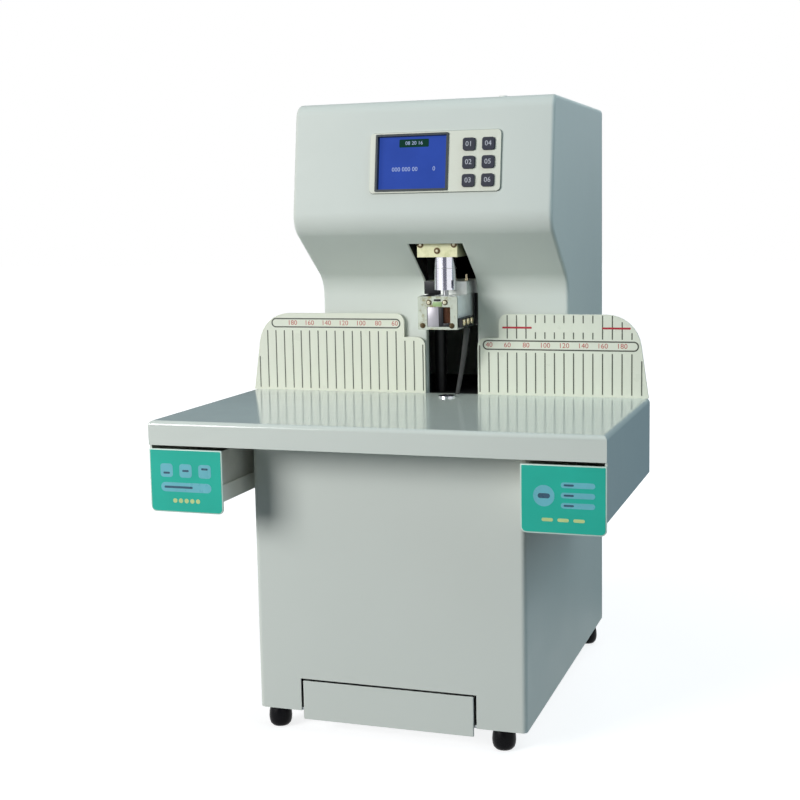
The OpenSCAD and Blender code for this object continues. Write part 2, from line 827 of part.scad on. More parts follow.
ring_z = sleeve_z0 + ring_up;

module quill_sleeve() color("silver") difference() {
    rod(drill_x, drill_y, sleeve_z0, bracket_z1, sleeve_d);
    bore(drill_x, drill_y, sleeve_z0, bracket_z1, spindle_d);
    difference() {
        rod(drill_x, drill_y, ring_z, ring_z + ring_w, sleeve_d + cut);
        rod(drill_x, drill_y, ring_z - cut, ring_z + ring_w + cut, sleeve_d - 2 * ring_t);
    }
    translate([drill_x, drill_y, sleeve_z0 + slot_up]) rotate([0, 0, slot_turn])
        box([0, -slot_w / 2, 0], [sleeve_d, slot_w / 2, slot_h]);
}

module screw_motors() color("dimgray") {
    for (x = [press_x, feed_x])
        translate([x, rod_y, bed_z - bed_t - stepper_len]) linear_extrude(stepper_len)
            rounded_square(min(stepper_w, 2 * screw_side - stepper_gap), stepper_w, stepper_r);
}

// Worktable

skirt_y = front_y + drawer_front_t + panel_gap;
die_plate_y = stop_y - slide_gap - die_plate_d;

// Rounded pan of the table, shrunk by d for its inside
module table_block(d, z0) {
    r = table_bend - d;
    half = table_half - d;
    z1 = table_z - d;
    intersection() {
        along_y(front_y + d, table_rear - d) {
            translate([-half, z0]) square([2 * half, z1 - r - z0]);
            translate([-half + r, z0]) square([2 * half - 2 * r, z1 - z0]);
            for (s = [-1, 1]) translate([s * (half - r), z1 - r]) circle(r);
        }
        along_x(-half, half) {
            translate([front_y + d, z0]) square([table_rear - front_y - 2 * d, z1 - r - z0]);
            translate([front_y + d + r, z0]) square([table_rear - front_y - 2 * d - r, z1 - z0]);
            translate([front_y + d + r, z1 - r]) circle(r);
        }
    }
}

module worktable() color("lightgray") difference() {
    table_block(0, table_z - skirt_h);
    table_block(table_t, table_z - skirt_h - cut);
    // Under the front lip
    box([-table_w, front_y - cut, table_z - skirt_h - cut], [table_w, skirt_y, table_z - lip_h]);
    // Under the rear lip of the wings, and between the wings
    box([-table_half + table_t, table_rear - 2 * table_t, table_z - skirt_h - cut],
        [table_half - table_t, table_rear + cut, table_z - lip_h]);
    box([-cab_half - side_gap, table_rear - 2 * table_t, table_z - skirt_h - cut],
        [cab_half + side_gap, table_rear + cut, bed_z]);
    // Place of the die plate
    box([drill_x - die_plate_w / 2 - slide_gap, die_plate_y - slide_gap, bed_z - cut],
        [drill_x + die_plate_w / 2 + slide_gap, stop_y, table_z + cut]);
}

channel_x = table_half - table_t - channel_w;

module drawer_channel(s) color("lightgray") mirror([s < 0 ? 1 : 0, 0, 0]) {
    z0 = table_z - skirt_h;
    box([channel_x, skirt_y, z0], [table_half - table_t, table_rear - table_t, z0 + sheet]);
    box([channel_x, skirt_y, z0 + sheet], [channel_x + sheet, table_rear - table_t, z0 + channel_lip]);
}
module left_drawer_channel() drawer_channel(-1);
module right_drawer_channel() drawer_channel(1);

stop_outer = table_half - stop_end_in;
stop_pad_z = table_z + stop_pad_up;

// Outline of a stop plate as [x, z], for the side s of the ruler zero
function stop_outline(s) =
    let (inner = zero_x + s * stop_inner, step = zero_x + s * stop_step, outer = s * stop_outer)
    closed_path([
        [inner, table_z],
        [inner, table_z + stop_low_h],
        [step, table_z + stop_low_h],
        [step, table_z + stop_h],
        [outer - s * stop_lean, table_z + stop_h],
        [outer, table_z]
    ], [0, stop_small_r, 0, stop_small_r, stop_big_r, 0]);

module stop_plate(s) color("ivory") {
    along_y(stop_y, stop_y + stop_t) polygon(stop_outline(s));
    for (i = [0, 1]) {
        x = stop_step + stop_pad_in + i * stop_pad_pitch;
        translate([zero_x + s * x, 0, stop_pad_z]) along_y(stop_y + stop_t, column_y) circle(d = stop_pad_d);
    }
}
module left_stop_plate() stop_plate(-1);
module right_stop_plate() stop_plate(1);

module die_plate() color("lightgray") difference() {
    box([drill_x - die_plate_w / 2, die_plate_y, bed_z],
        [drill_x + die_plate_w / 2, stop_y - slide_gap, table_z]);
    bore(drill_x, drill_y, bed_z, table_z, die_d);
}

module die_ring() color("silver") difference() {
    rod(drill_x, drill_y, bed_z - bed_t / 2, table_z + die_proud, die_d);
    rod(drill_x, drill_y, bed_z - bed_t, table_z + die_proud + cut, die_bore);
}

module lower_rivet_heater() color("peru") difference() {
    rod(drill_x, drill_y, bed_z - bed_t - lower_heater_h, bed_z - bed_t, lower_heater_d);
    rod(drill_x, drill_y, bed_z - bed_t - lower_heater_h - cut, bed_z, die_bore + 2 * chip_room);
}

tray_tub_z = floor_z + floor_t + slide_gap;

module chip_chute() color("gainsboro")
    translate([drill_x, drill_y, tray_tub_z + tray_h + chute_clear])
        linear_extrude(bed_z - bed_t - tray_tub_z - tray_h - chute_clear) difference() {
            square(chute_w, center = true);
            square(chute_w - 2 * tub_wall, center = true);
        }

// Head cover and control panel

module head_front_cover() color("lightgray") difference() {
    union() {
        difference() {
            along_x(-cab_half, cab_half)
                polygon(concat(open_path(profile, profile_r), reversed(inner_profile(sheet))));
            box([zero_x - notch_w / 2, front_y, bed_z - cut],
                [zero_x + notch_w / 2, column_y + sheet + cut, notch_z]);
        }
        for (s = [-1, 1]) intersection() {
            edge = zero_x + s * notch_w / 2;
            along_x(min(edge, edge + s * sheet), max(edge, edge + s * sheet))
                polygon(concat(open_path(profile, profile_r), reversed(inner_profile(notch_return))));
            box([-cab_half, front_y, bed_z], [cab_half, rear_y, notch_z]);
        }
    }
    on_face() translate([bezel_x, bezel_up, -sheet - cut]) linear_extrude(sheet + 2 * cut)
        square([window_w, window_h], center = true);
    rod(bush_x, column_y + bush_back, top_z - sheet - cut, top_z + cut, bush_d + 2 * fit);
}

module tube_inlet_bush() color("white") difference() {
    union() {
        rod(bush_x, column_y + bush_back, top_z - sheet, top_z + bush_h, bush_d);
        rod(bush_x, column_y + bush_back, top_z, top_z + bush_flange_t, bush_flange_d);
    }
    rod(bush_x, column_y + bush_back, top_z - sheet - cut, top_z + bush_h + cut, bush_bore);
}

lcd_x = bezel_x - lcd_left;
lcd_body_w = lcd_w - 2 * lcd_flange;
lcd_body_h = lcd_h - 2 * lcd_flange;
lcd_front = bezel_t + lcd_proud;
lcd_face = lcd_front - lcd_recess;
board_z = lcd_face - lcd_t;
boss_off = lcd_body_w / 2 + boss_d / 2 + boss_gap;
boss_x = [lcd_x - boss_off, lcd_x + boss_off + boss_d];
key_hole = key_w + 2 * slide_gap;
stem_end = board_z + switch_h + key_travel + slide_gap / 2;

// Middle of key i on the face, in columns of three from the top left
function key_at(i) = [
    bezel_x + keys_right + (i < 3 ? -1 : 1) * key_pitch_x / 2,
    bezel_up - keys_drop + (1 - i % 3) * key_pitch_y
];

module control_bezel() color("beige") on_face() {
    difference() {
        translate([bezel_x, bezel_up, 0]) linear_extrude(bezel_t) rounded_square(bezel_w, bezel_h, bezel_r);
        translate([lcd_x, bezel_up, -cut]) linear_extrude(bezel_t + 2 * cut)
            square([lcd_body_w + slide_gap, lcd_body_h + slide_gap], center = true);
        for (i = [0:5]) translate([key_at(i).x, key_at(i).y, -cut]) linear_extrude(bezel_t + 2 * cut)
            rounded_square(key_hole, key_hole, key_r + slide_gap);
    }
    for (x = boss_x, s = [-1, 1])
        translate([x, bezel_up + s * boss_y, board_z]) cylinder(h = -board_z, d = boss_d);
}

module lcd_frame() color("darkslategray") on_face() translate([lcd_x, bezel_up, 0]) difference() {
    union() {
        translate([0, 0, bezel_t]) linear_extrude(lcd_proud) rounded_square(lcd_w, lcd_h, lcd_r);
        translate([0, 0, lcd_face]) linear_extrude(bezel_t - lcd_face)
            square([lcd_body_w, lcd_body_h], center = true);
    }
    translate([0, 0, lcd_face - cut]) linear_extrude(lcd_recess + 2 * cut)
        square([lcd_body_w - 2 * lcd_border, lcd_body_h - 2 * lcd_border], center = true);
}

module lcd_screen() color("royalblue") on_face() translate([lcd_x, bezel_up, board_z]) linear_extrude(lcd_t)
    square([lcd_body_w, lcd_body_h], center = true);

module control_board() color("darkgreen") on_face() {
    translate([bezel_x, bezel_up, board_z - board_t]) linear_extrude(board_t)
        square([window_w - 2 * board_gap, window_h - 2 * board_gap], center = true);
    for (i = [0:5]) translate([key_at(i).x, key_at(i).y, board_z]) cylinder(h = switch_h, d = stem_d);
}

module key(i) color("dimgray") on_face() translate([key_at(i).x, key_at(i).y, 0]) {
    translate([0, 0, -slide_gap]) linear_extrude(bezel_t + key_proud + slide_gap)
        rounded_square(key_w, key_w, key_r);
    translate([0, 0, -slide_gap - key_rim_t]) linear_extrude(key_rim_t)
        square(key_w + 2 * key_rim, center = true);
    translate([0, 0, stem_end]) cylinder(h = -slide_gap - key_rim_t - stem_end, d = stem_d);
}
module key_1() key(0);
module key_2() key(1);
module key_3() key(2);
module key_4() key(3);
module key_5() key(4);
module key_6() key(5);

// Rear and electric pieces

inlet_x = cab_in - inlet_in;
inlet_y = cover_y - inlet_lip;
inlet_mid = floor_z + inlet_z;
rocker_z = inlet_mid + rocker_up;
socket_z = inlet_mid - socket_down;
rocker_y = cover_y + sheet;

// Frame on the rocker's axle: z along the axle
module on_axle() {
    translate([inlet_x, rocker_y - axle_in, rocker_z]) rotate([0, 90, 0]) children();
}

module power_inlet() color("dimgray") difference() {
    union() {
        translate([inlet_x, 0, inlet_mid]) along_y(cover_y - inlet_d, cover_y + sheet)
            square([inlet_w - slide_gap, inlet_h - slide_gap], center = true);
        translate([inlet_x, 0, inlet_mid]) along_y(inlet_y, cover_y)
            square([inlet_w + 2 * inlet_lip, inlet_h + 2 * inlet_lip], center = true);
    }
    // Socket with three pins
    difference() {
        translate([inlet_x, 0, socket_z]) along_y(cover_y - socket_d, cover_y + sheet + cut)
            square([socket_w, socket_h], center = true);
        for (i = [-1:1])
            translate([inlet_x + i * pin_pitch, 0, socket_z + (i == 0 ? pin_raise : -pin_raise)])
                along_y(cover_y - socket_d - cut, cover_y - pin_below) square([pin_w, pin_h], center = true);
    }
    // Well of the rocker
    translate([inlet_x, 0, rocker_z]) along_y(rocker_y - well_d, rocker_y + cut)
        square([rocker_w + 2 * side_gap, rocker_h + 2 * well_room], center = true);
    on_axle() cylinder(h = rocker_w + 2 * (axle_end + cut), d = axle_d + 2 * fit, center = true);
}

module power_rocker() color("black") {
    intersection() {
        on_axle() cylinder(h = rocker_w, d = rocker_h, center = true);
        box([inlet_x - rocker_w, rocker_y - rocker_d, rocker_z - rocker_h],
            [inlet_x + rocker_w, rocker_y + rocker_proud, rocker_z + rocker_h]);
    }
    on_axle() cylinder(h = rocker_w + 2 * axle_end, d = axle_d, center = true);
}

supply_x = -cab_in + supply_in;
supply_y = bed_y1 - 1.5 * post_w - supply_gap - supply_d;

module power_supply() color("silver") {
    z = floor_z + floor_t;
    box([supply_x, supply_y, z], [supply_x + supply_w, supply_y + supply_d, z + supply_h]);
}

module main_board() color("darkgreen") {
    z = floor_z + floor_t;
    board_top = z + standoff_h + board_t;
    for (x = [standoff_in, main_w - standoff_in], y = [standoff_in, main_d - standoff_in])
        rod(main_x + x, supply_y + y, z, z + standoff_h, standoff_d);
    box([main_x, supply_y, z + standoff_h], [main_x + main_w, supply_y + main_d, board_top]);
    translate([main_x + standoff_in, supply_y + standoff_in, board_top]) cube([sink_w, sink_w, sink_h]);
    for (i = [0:cap_count - 1])
        rod(main_x + main_w - standoff_in - i * cap_pitch, supply_y + main_d / 2,
            board_top, board_top + cap_h, cap_d);
}

module fixing_screws() color("goldenrod") {
    // Rear cover
    for (s = [-1, 1], z = cover_screw_z)
        translate([s * (cab_in - rear_flange / 2), 0, z])
            along_y(cover_y + sheet, cover_y + sheet + head_t) circle(d = head_d);
    // Front of the quill bracket
    for (p = [
        [-bracket_screw_x, bracket_screw_z],
        [0, bracket_screw_mid],
        [bracket_screw_x, bracket_screw_z]
    ])
        translate([zero_x + p.x, 0, bracket_z0 + p.y])
            along_y(stop_y - mech_front - head_t, stop_y - mech_front) circle(d = head_d);
}

// Drawers

drawer_z1 = table_z - lip_h - drawer_top_gap;
drawer_tub_z = table_z - skirt_h + sheet + slide_gap;

module drawer_tub(s) color("lightgray") mirror([s < 0 ? 1 : 0, 0, 0])
    tub([channel_x + sheet + side_gap, front_y + drawer_front_t, drawer_tub_z],
        [table_half - table_t - side_gap, front_y + drawer_front_t + drawer_len, drawer_tub_z + drawer_h]);
module left_drawer_tub() drawer_tub(-1);
module right_drawer_tub() drawer_tub(1);

module drawer_front(s) color("mediumseagreen") mirror([s < 0 ? 1 : 0, 0, 0])
    along_y(front_y, front_y + drawer_front_t) polygon(closed_path([
        [table_half, drawer_z1],
        [table_half - drawer_front_w, drawer_z1],
        [table_half - drawer_front_w, drawer_z1 - drawer_front_h],
        [table_half, drawer_z1 - drawer_front_h]
    ], [drawer_top_r, drawer_top_r, drawer_corner_r, drawer_corner_r]));
module left_drawer_front() drawer_front(-1);
module right_drawer_front() drawer_front(1);

// Scrap tray

tray_tub_y = cab_y - tray_proud + tray_front_t;
tray_front_z = floor_z + tray_open_h - tray_gap;

module scrap_tray_tub() color("lightgray")
    tub([tray_x - tray_tub_w / 2, tray_tub_y, tray_tub_z],
        [tray_x + tray_tub_w / 2, tray_tub_y + tray_len, tray_tub_z + tray_h]);

module scrap_tray_front() color("lightgray")
    box([tray_left, cab_y - tray_proud, tray_front_z - tray_front_h], [tray_right, tray_tub_y, tray_front_z]);

// Presser

presser_y0 = stop_y - mech_front + presser_plate_t;
carriage_y0 = stop_y - carriage_front;
carriage_x1 = zero_x + presser_w / 2;
collar_z0 = presser_z0 + collar_up;
spindle_clear = spindle_d + 2 * spindle_room;
window_wide = collar_d + 2 * window_side;

module presser_carriage() color("darkgray") difference() {
    union() {
        box([carriage_x1 - carriage_w, carriage_y0, presser_z0], [carriage_x1, frame_y, carriage_z1]);
        box([drill_x - rod_side - rod_d, frame_y, presser_z0],
            [drill_x + rod_side + rod_d, frame_y + cross_d, carriage_z1]);
    }
    for (x = rod_x) bore(x, rod_y, presser_z0, carriage_z1, rod_d);
    bore(press_x, rod_y, presser_z0, carriage_z1, screw_d);
    rod(feed_x, rod_y, presser_z0 - cut, carriage_z1 + cut, screw_d + 2 * pass_gap);
}

module presser_block() color("darkgray") difference() {
    box([zero_x - presser_w / 2, presser_y0, presser_z0], [zero_x + presser_w / 2, carriage_y0, presser_z1]);
    rod(drill_x, drill_y, presser_z0 - cut, presser_z1 + cut, spindle_clear);
    rod(drill_x, drill_y, collar_z0, collar_z0 + collar_h, collar_d + 2 * fit);
    box([drill_x - window_wide / 2, presser_y0 - cut, collar_z0],
        [drill_x + window_wide / 2, drill_y, collar_z0 + collar_h]);
}

plate_left = zero_x - presser_w / 2;
plate_w = presser_w - plate_short;

module presser_front_plate() color("khaki") along_y(presser_y0 - presser_plate_t, presser_y0) difference() {
    translate([plate_left, presser_z0]) square([plate_w, presser_h]);
    translate([plate_left + plate_w / 2 - window_wide / 2, collar_z0 - window_drop])
        square([window_wide, collar_h]);
}

module presser_screws() color("goldenrod")
    for (s = [-1, 1], p = [
        [plate_w / 2 - plate_screw_in, plate_screw_low],
        [plate_screw_pitch / 2, plate_screw_high]
    ])
        translate([plate_left + plate_w / 2 + s * p.x, 0, presser_z0 + p.y])
            along_y(presser_y0 - presser_plate_t - head_t, presser_y0 - presser_plate_t)
                circle(d = plate_head_d);

module heater_collar() color("sienna") difference() {
    rod(drill_x, drill_y, collar_z0, collar_z0 + collar_h, collar_d);
    rod(drill_x, drill_y, collar_z0 - cut, collar_z0 + collar_h + cut, spindle_clear);
}

fitting_x = carriage_x1 - fitting_in;
fitting_y = carriage_y0 + fitting_back;

module brass_fitting() color("goldenrod") {
    z = carriage_z1 + fitting_t;
    rod(fitting_x, fitting_y, carriage_z1, z, fitting_d);
    rod(fitting_x, fitting_y, z, z + fitting_stem_h, fitting_stem_d);
}

terminal_x0 = zero_x + presser_w / 2;
terminal_z0 = presser_z0 + terminal_up;

lead_top = [terminal_x0 + lead_gap + lead_w / 2, drill_y + lead_back, presser_z0];

module terminal_block() color("black") {
    box([terminal_x0, presser_y0, terminal_z0],
        [terminal_x0 + terminal_t, presser_y0 + terminal_d, terminal_z0 + terminal_h]);
    box([terminal_x0 + lead_gap, lead_top.y - lead_t, lead_top.z],
        [terminal_x0 + terminal_t, lead_top.y + lead_t, terminal_z0 + lead_t]);
}

lead_foot = [drill_x + lead_side, stop_y - slide_gap - lead_w / 2, table_z];

module heater_lead() color("black") {
    lead = lead_top - lead_foot;
    intersection() {
        translate(lead_foot)
            rotate([-atan2(lead.y, lead.z), 0, 0]) rotate([0, atan2(lead.x, norm([lead.y, lead.z])), 0])
            box([-lead_w / 2, -lead_t / 2, -lead_w], [lead_w / 2, lead_t / 2, norm(lead) + lead_w]);
        box([lead_foot.x - cab_w, lead_top.y - cab_d, lead_foot.z],
            [lead_top.x + cab_w, lead_foot.y + cab_d, lead_top.z]);
    }
}

// Drill

spindle_z0 = presser_z0 + bit_len;

module feed_carriage() color("darkgray") difference() {
    union() {
        box([drill_x - motor_d / 2, drill_y - motor_d / 2, feed_z0],
            [drill_x + motor_d / 2, frame_y, feed_z0 + feed_t]);
        box([drill_x - rod_side - rod_d, frame_y, feed_z0],
            [drill_x + rod_side + rod_d, frame_y + cross_d, feed_z0 + feed_len]);
    }
    for (x = rod_x) bore(x, rod_y, feed_z0, feed_z0 + feed_len, rod_d);
    bore(feed_x, rod_y, feed_z0, feed_z0 + feed_len, screw_d);
    bore(drill_x, drill_y, feed_z0, feed_z0 + feed_t, spindle_d);
}

module drill_motor() color("dimgray")
    rod(drill_x, drill_y, feed_z0 + feed_t, feed_z0 + feed_t + motor_len, motor_d);

module drill_spindle() color("silver") difference() {
    union() {
        rod(drill_x, drill_y, spindle_z0, feed_z0 + feed_t, spindle_d);
        rod(drill_x, drill_y, feed_z0 - spindle_collar_t, feed_z0, spindle_collar_d);
    }
    rod(drill_x, drill_y, spindle_z0 - cut, spindle_z0 + bit_socket, bit_d + 2 * fit);
}

module drill_bit() color("silver") difference() {
    rod(drill_x, drill_y, presser_z0, spindle_z0 + bit_socket, bit_d);
    rod(drill_x, drill_y, presser_z0 - cut, spindle_z0 + bit_socket + cut, bit_bore);
}

module press_screw() color("silver") rod(press_x, rod_y, bed_z - bed_t, bracket_z1, screw_d);
module feed_screw() color("silver") rod(feed_x, rod_y, bed_z - bed_t, frame_top_z + frame_t, screw_d);

base_plate();
base_front_panel();
left_side_panel();
right_side_panel();
rear_cover();
rubber_feet();
frame_posts();
bed_plate();
worktable();
left_drawer_channel();
right_drawer_channel();
left_stop_plate();
right_stop_plate();
die_plate();
die_ring();
lower_rivet_heater();
chip_chute();
head_front_cover();
frame_plates();
frame_top_plate();
guide_rods();
quill_bracket();
quill_sleeve();
fixing_screws();
screw_motors();
control_bezel();
lcd_frame();
lcd_screen();
control_board();
power_supply();
main_board();
power_inlet();
power_rocker();
tube_inlet_bush();
left_drawer_tub();
left_drawer_front();
right_drawer_tub();
right_drawer_front();
scrap_tray_tub();
scrap_tray_front();
presser_carriage();
presser_block();
presser_front_plate();
presser_screws();
heater_collar();
brass_fitting();
terminal_block();
heater_lead();
feed_carriage();
drill_motor();
drill_spindle();
drill_bit();
press_screw();
feed_screw();
key_1();
key_2();
key_3();
key_4();
key_5();
key_6();
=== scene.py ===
"""Thermal binding machine: the pieces that show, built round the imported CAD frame."""
import math

import bmesh
import bpy
from mathutils import Matrix, Vector


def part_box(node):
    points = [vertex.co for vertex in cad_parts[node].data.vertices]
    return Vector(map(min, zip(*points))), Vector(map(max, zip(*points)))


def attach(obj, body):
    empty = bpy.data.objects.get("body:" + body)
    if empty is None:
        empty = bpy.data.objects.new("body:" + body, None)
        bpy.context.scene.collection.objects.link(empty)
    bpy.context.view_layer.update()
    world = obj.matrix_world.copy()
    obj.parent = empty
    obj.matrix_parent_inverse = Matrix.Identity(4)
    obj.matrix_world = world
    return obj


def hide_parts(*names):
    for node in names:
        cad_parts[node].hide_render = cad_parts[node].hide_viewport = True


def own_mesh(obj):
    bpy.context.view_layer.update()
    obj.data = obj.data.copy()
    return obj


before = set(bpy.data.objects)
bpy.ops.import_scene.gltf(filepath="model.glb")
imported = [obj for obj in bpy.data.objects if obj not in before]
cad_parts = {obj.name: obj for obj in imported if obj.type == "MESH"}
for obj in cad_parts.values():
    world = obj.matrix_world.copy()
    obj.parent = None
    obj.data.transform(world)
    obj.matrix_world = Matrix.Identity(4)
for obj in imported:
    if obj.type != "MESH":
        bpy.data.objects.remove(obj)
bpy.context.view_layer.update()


def link(name, data):
    """Puts a new object in the scene."""
    made = bpy.data.objects.new(name, data)
    bpy.context.scene.collection.objects.link(made)
    return made


# ---------------- camera

CAMERA_AT = (0.4242, -1.3644, 0.5039)
CAMERA_TURN = 18.79
CAMERA_TILT = 7.68
CAMERA_ROLL = -1.07
CAMERA_LENS = 61.74


def stand_camera():
    data = bpy.data.cameras.new("front_camera")
    data.lens = CAMERA_LENS
    data.sensor_width = 36
    camera = link("front_camera", data)
    camera.matrix_world = (
        Matrix.Translation(CAMERA_AT)
        @ Matrix.Rotation(math.radians(CAMERA_TURN), 4, "Z")
        @ Matrix.Rotation(math.radians(90 - CAMERA_TILT), 4, "X")
        @ Matrix.Rotation(math.radians(CAMERA_ROLL), 4, "Z")
    )
    bpy.context.scene.camera = camera


stand_camera()

# ---------------- sizes, in millimetres

MM = 0.001


def box(node):
    """Lowest and highest corner of a CAD node, in millimetres."""
    low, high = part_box(node)
    return low / MM, high / MM


cover_lo, cover_hi = box("head_front_cover")
left_stop_lo, left_stop_hi = box("left_stop_plate")
right_stop_lo = box("right_stop_plate")[0]
base_lo, base_hi = box("base_front_panel")
rear_lo, rear_hi = box("rear_cover")
table_hi = box("worktable")[1]
bracket_lo = box("quill_bracket")[0]
plate_lo, plate_hi = box("presser_front_plate")
block_lo, block_hi = box("presser_block")
terminal_lo, terminal_hi = box("terminal_block")
sleeve_lo, sleeve_hi = box("quill_sleeve")
bush_lo, bush_hi = box("tube_inlet_bush")
bezel_lo, bezel_hi = box("control_bezel")
lcd_lo, lcd_hi = box("lcd_frame")
lead_lo, lead_hi = box("heater_lead")
carriage_lo, carriage_hi = box("presser_carriage")

SHEET = 1.5
ZERO_X = (left_stop_hi.x + right_stop_lo.x) / 2
TABLE_Z = table_hi.z
COLUMN_Y = left_stop_hi.y
HALF_W = cover_hi.x
DRILL_X = (sleeve_lo.x + sleeve_hi.x) / 2
DRILL_Y = (sleeve_lo.y + sleeve_hi.y) / 2

# Profile of the head: the column, the overhang, the leaning face and the top
LEAN = math.radians(8.5)
FACE_H = 125.6
NOSE_RISE = 59.5
NOSE_REACH = 81.5
CROOK_R = 30
NOSE_R = 26
TOP_R = 15
REAR_R = 6
REAR_LIP = 12
BEND_STEPS = 14
SIDE_R = 4
SIDE_STEPS = 7
NOTCH_W = 56.5
NOTCH_DROP = 17.8
NOTCH_R = 1.6
NOTCH_STEPS = 4
NOTCH_RETURN = 12
NOTCH_LIP = (7.0, 0.6)  # bare edge in front of the painted-shade lining, on the column and on the overhang
SHADE_LINING_T = 0.4
SHADE_LINING_BLEND = 20  # height over which the lip changes
WINDOW_W = 127.5
WINDOW_H = 56.5
BEZEL_UP = 63.7
BUSH_HOLE = 4.6

NOSE_Y = COLUMN_Y - NOSE_REACH
NOSE_Z = cover_hi.z - FACE_H
TOP_Y = NOSE_Y + FACE_H * math.tan(LEAN)
NOTCH_Z = NOSE_Z - NOTCH_DROP
BEZEL_X = (bezel_lo.x + bezel_hi.x) / 2

# ---------------- node helpers


def shade(red, green, blue):
    """Linear colour of an sRGB shade given from 0 to 255."""
    def linear(value):
        value = value / 255
        return value / 12.92 if value <= 0.04045 else ((value + 0.055) / 1.055) ** 2.4
    return (linear(red), linear(green), linear(blue), 1.0)


def node(tree, kind, inputs=None, **settings):
    """Adds a shader node, sets its options, and sets or links its inputs."""
    made = tree.nodes.new("ShaderNode" + kind)
    for name, value in settings.items():
        setattr(made, name, value)
    for name, value in (inputs or {}).items():
        if isinstance(value, bpy.types.NodeSocket):
            tree.links.new(value, made.inputs[name])
        else:
            made.inputs[name].default_value = value
    return made


def new_group(name, inputs, outputs):
    """Starts a node group from lists of (label, kind, value) and (label, kind)."""
    tree = bpy.data.node_groups.new(name, "ShaderNodeTree")
    for label, kind, value in inputs:
        socket = tree.interface.new_socket(label, in_out="INPUT", socket_type="NodeSocket" + kind)
        socket.default_value = value
    for label, kind in outputs:
        tree.interface.new_socket(label, in_out="OUTPUT", socket_type="NodeSocket" + kind)
    return tree, tree.nodes.new("NodeGroupInput").outputs, tree.nodes.new("NodeGroupOutput").inputs


def use(tree, group, inputs):
    """Places a node group in a material."""
    placed = tree.nodes.new("ShaderNodeGroup")
    placed.node_tree = group
    for name, value in inputs.items():
        placed.inputs[name].default_value = value
    return placed.outputs


def noise(tree, scale, detail, roughness, at=None):
    """Noise over the object's own coordinates, or over the given ones."""
    at = at or node(tree, "TexCoord").outputs["Object"]
    made = node(tree, "TexNoise", {"Vector": at, "Scale": scale, "Detail": detail, "Roughness": roughness})
    return made.outputs["Fac"]


def ramp(tree, value, low, high, to_low=0.0, to_high=1.0):
    """A value brought from one range into another."""
    return node(tree, "MapRange", {
        "Value": value, "From Min": low, "From Max": high, "To Min": to_low, "To Max": to_high,
    }).outputs["Result"]


COLOUR_A, COLOUR_B, COLOUR_OUT = 6, 7, 2


def blend(tree, share, first, second, how="MIX"):
    """Two colours put together."""
    inputs = {0: share, COLOUR_A: first, COLOUR_B: second}
    return node(tree, "Mix", inputs, data_type="RGBA", blend_type=how).outputs[COLOUR_OUT]


def tone_drift_group():
    """Slow change of tone over a surface, as paint and plastic have."""
    tree, given, put = new_group(
        "tone_drift",
        [("Colour", "Color", (1, 1, 1, 1)), ("Scale", "Float", 10), ("Amount", "Float", 0.02)],
        [("Colour", "Color")],
    )
    cloud = noise(tree, given["Scale"], 4, 0.55)
    less = node(tree, "Math", {0: 1.0, 1: given["Amount"]}, operation="SUBTRACT")
    more = node(tree, "Math", {0: 1.0, 1: given["Amount"]}, operation="ADD")
    level = ramp(tree, cloud, 0.3, 0.7, less.outputs[0], more.outputs[0])
    tree.links.new(blend(tree, 1.0, given["Colour"], level, "MULTIPLY"), put["Colour"])
    return tree


def fine_grain_group():
    """Small relief of sprayed paint or moulded plastic, and how its gloss varies."""
    tree, given, put = new_group(
        "fine_grain",
        [("Scale", "Float", 1000), ("Broad", "Float", 40)],
        [("Height", "Float"), ("Gloss", "Float")],
    )
    tree.links.new(noise(tree, given["Scale"], 2, 0.5), put["Height"])
    tree.links.new(noise(tree, given["Broad"], 5, 0.6), put["Gloss"])
    return tree


def settled_dust_group():
    """Where dust lies: on faces that look up, in patches."""
    tree, given, put = new_group("settled_dust", [("Amount", "Float", 0.1)], [("Mask", "Float")])
    up = node(tree, "SeparateXYZ", {"Vector": node(tree, "NewGeometry").outputs["Normal"]}).outputs["Z"]
    flat = ramp(tree, up, 0.2, 1.0)
    patch = ramp(tree, noise(tree, 25, 6, 0.7), 0.35, 0.7)
    lying = node(tree, "Math", {0: flat, 1: patch}, operation="MULTIPLY")
    level = node(tree, "Math", {0: lying.outputs[0], 1: given["Amount"]}, operation="MULTIPLY")
    tree.links.new(level.outputs[0], put["Mask"])
    return tree


def drawn_lines_group():
    """Fine lines drawn along one direction by turning, brushing or rolling."""
    tree, given, put = new_group(
        "drawn_lines",
        [("Stretch", "Vector", (40, 40, 3000))],
        [("Height", "Float"), ("Shade", "Float")],
    )
    place = node(tree, "TexCoord").outputs["Object"]
    pulled = node(tree, "VectorMath", {0: place, 1: given["Stretch"]}, operation="MULTIPLY")
    lines = noise(tree, 1, 3, 0.6, pulled.outputs[0])
    tree.links.new(lines, put["Height"])
    tree.links.new(lines, put["Shade"])
    return tree


def stain_group():
    """Blotches of a second tone, as plated and heated metal has."""
    tree, given, put = new_group(
        "stain",
        [("Colour", "Color", (1, 1, 1, 1)), ("Stain", "Color", (0.2, 0.15, 0.1, 1)),
         ("Scale", "Float", 120), ("Amount", "Float", 0.5)],
        [("Colour", "Color")],
    )
    patch = ramp(tree, noise(tree, given["Scale"], 5, 0.6), 0.5, 0.7, 0.0, given["Amount"])
    tree.links.new(blend(tree, patch, given["Colour"], given["Stain"]), put["Colour"])
    return tree


TONE_DRIFT = tone_drift_group()
STAIN = stain_group()
FINE_GRAIN = fine_grain_group()
SETTLED_DUST = settled_dust_group()
DRAWN_LINES = drawn_lines_group()
DUST = shade(196, 194, 186)

# ---------------- finishes


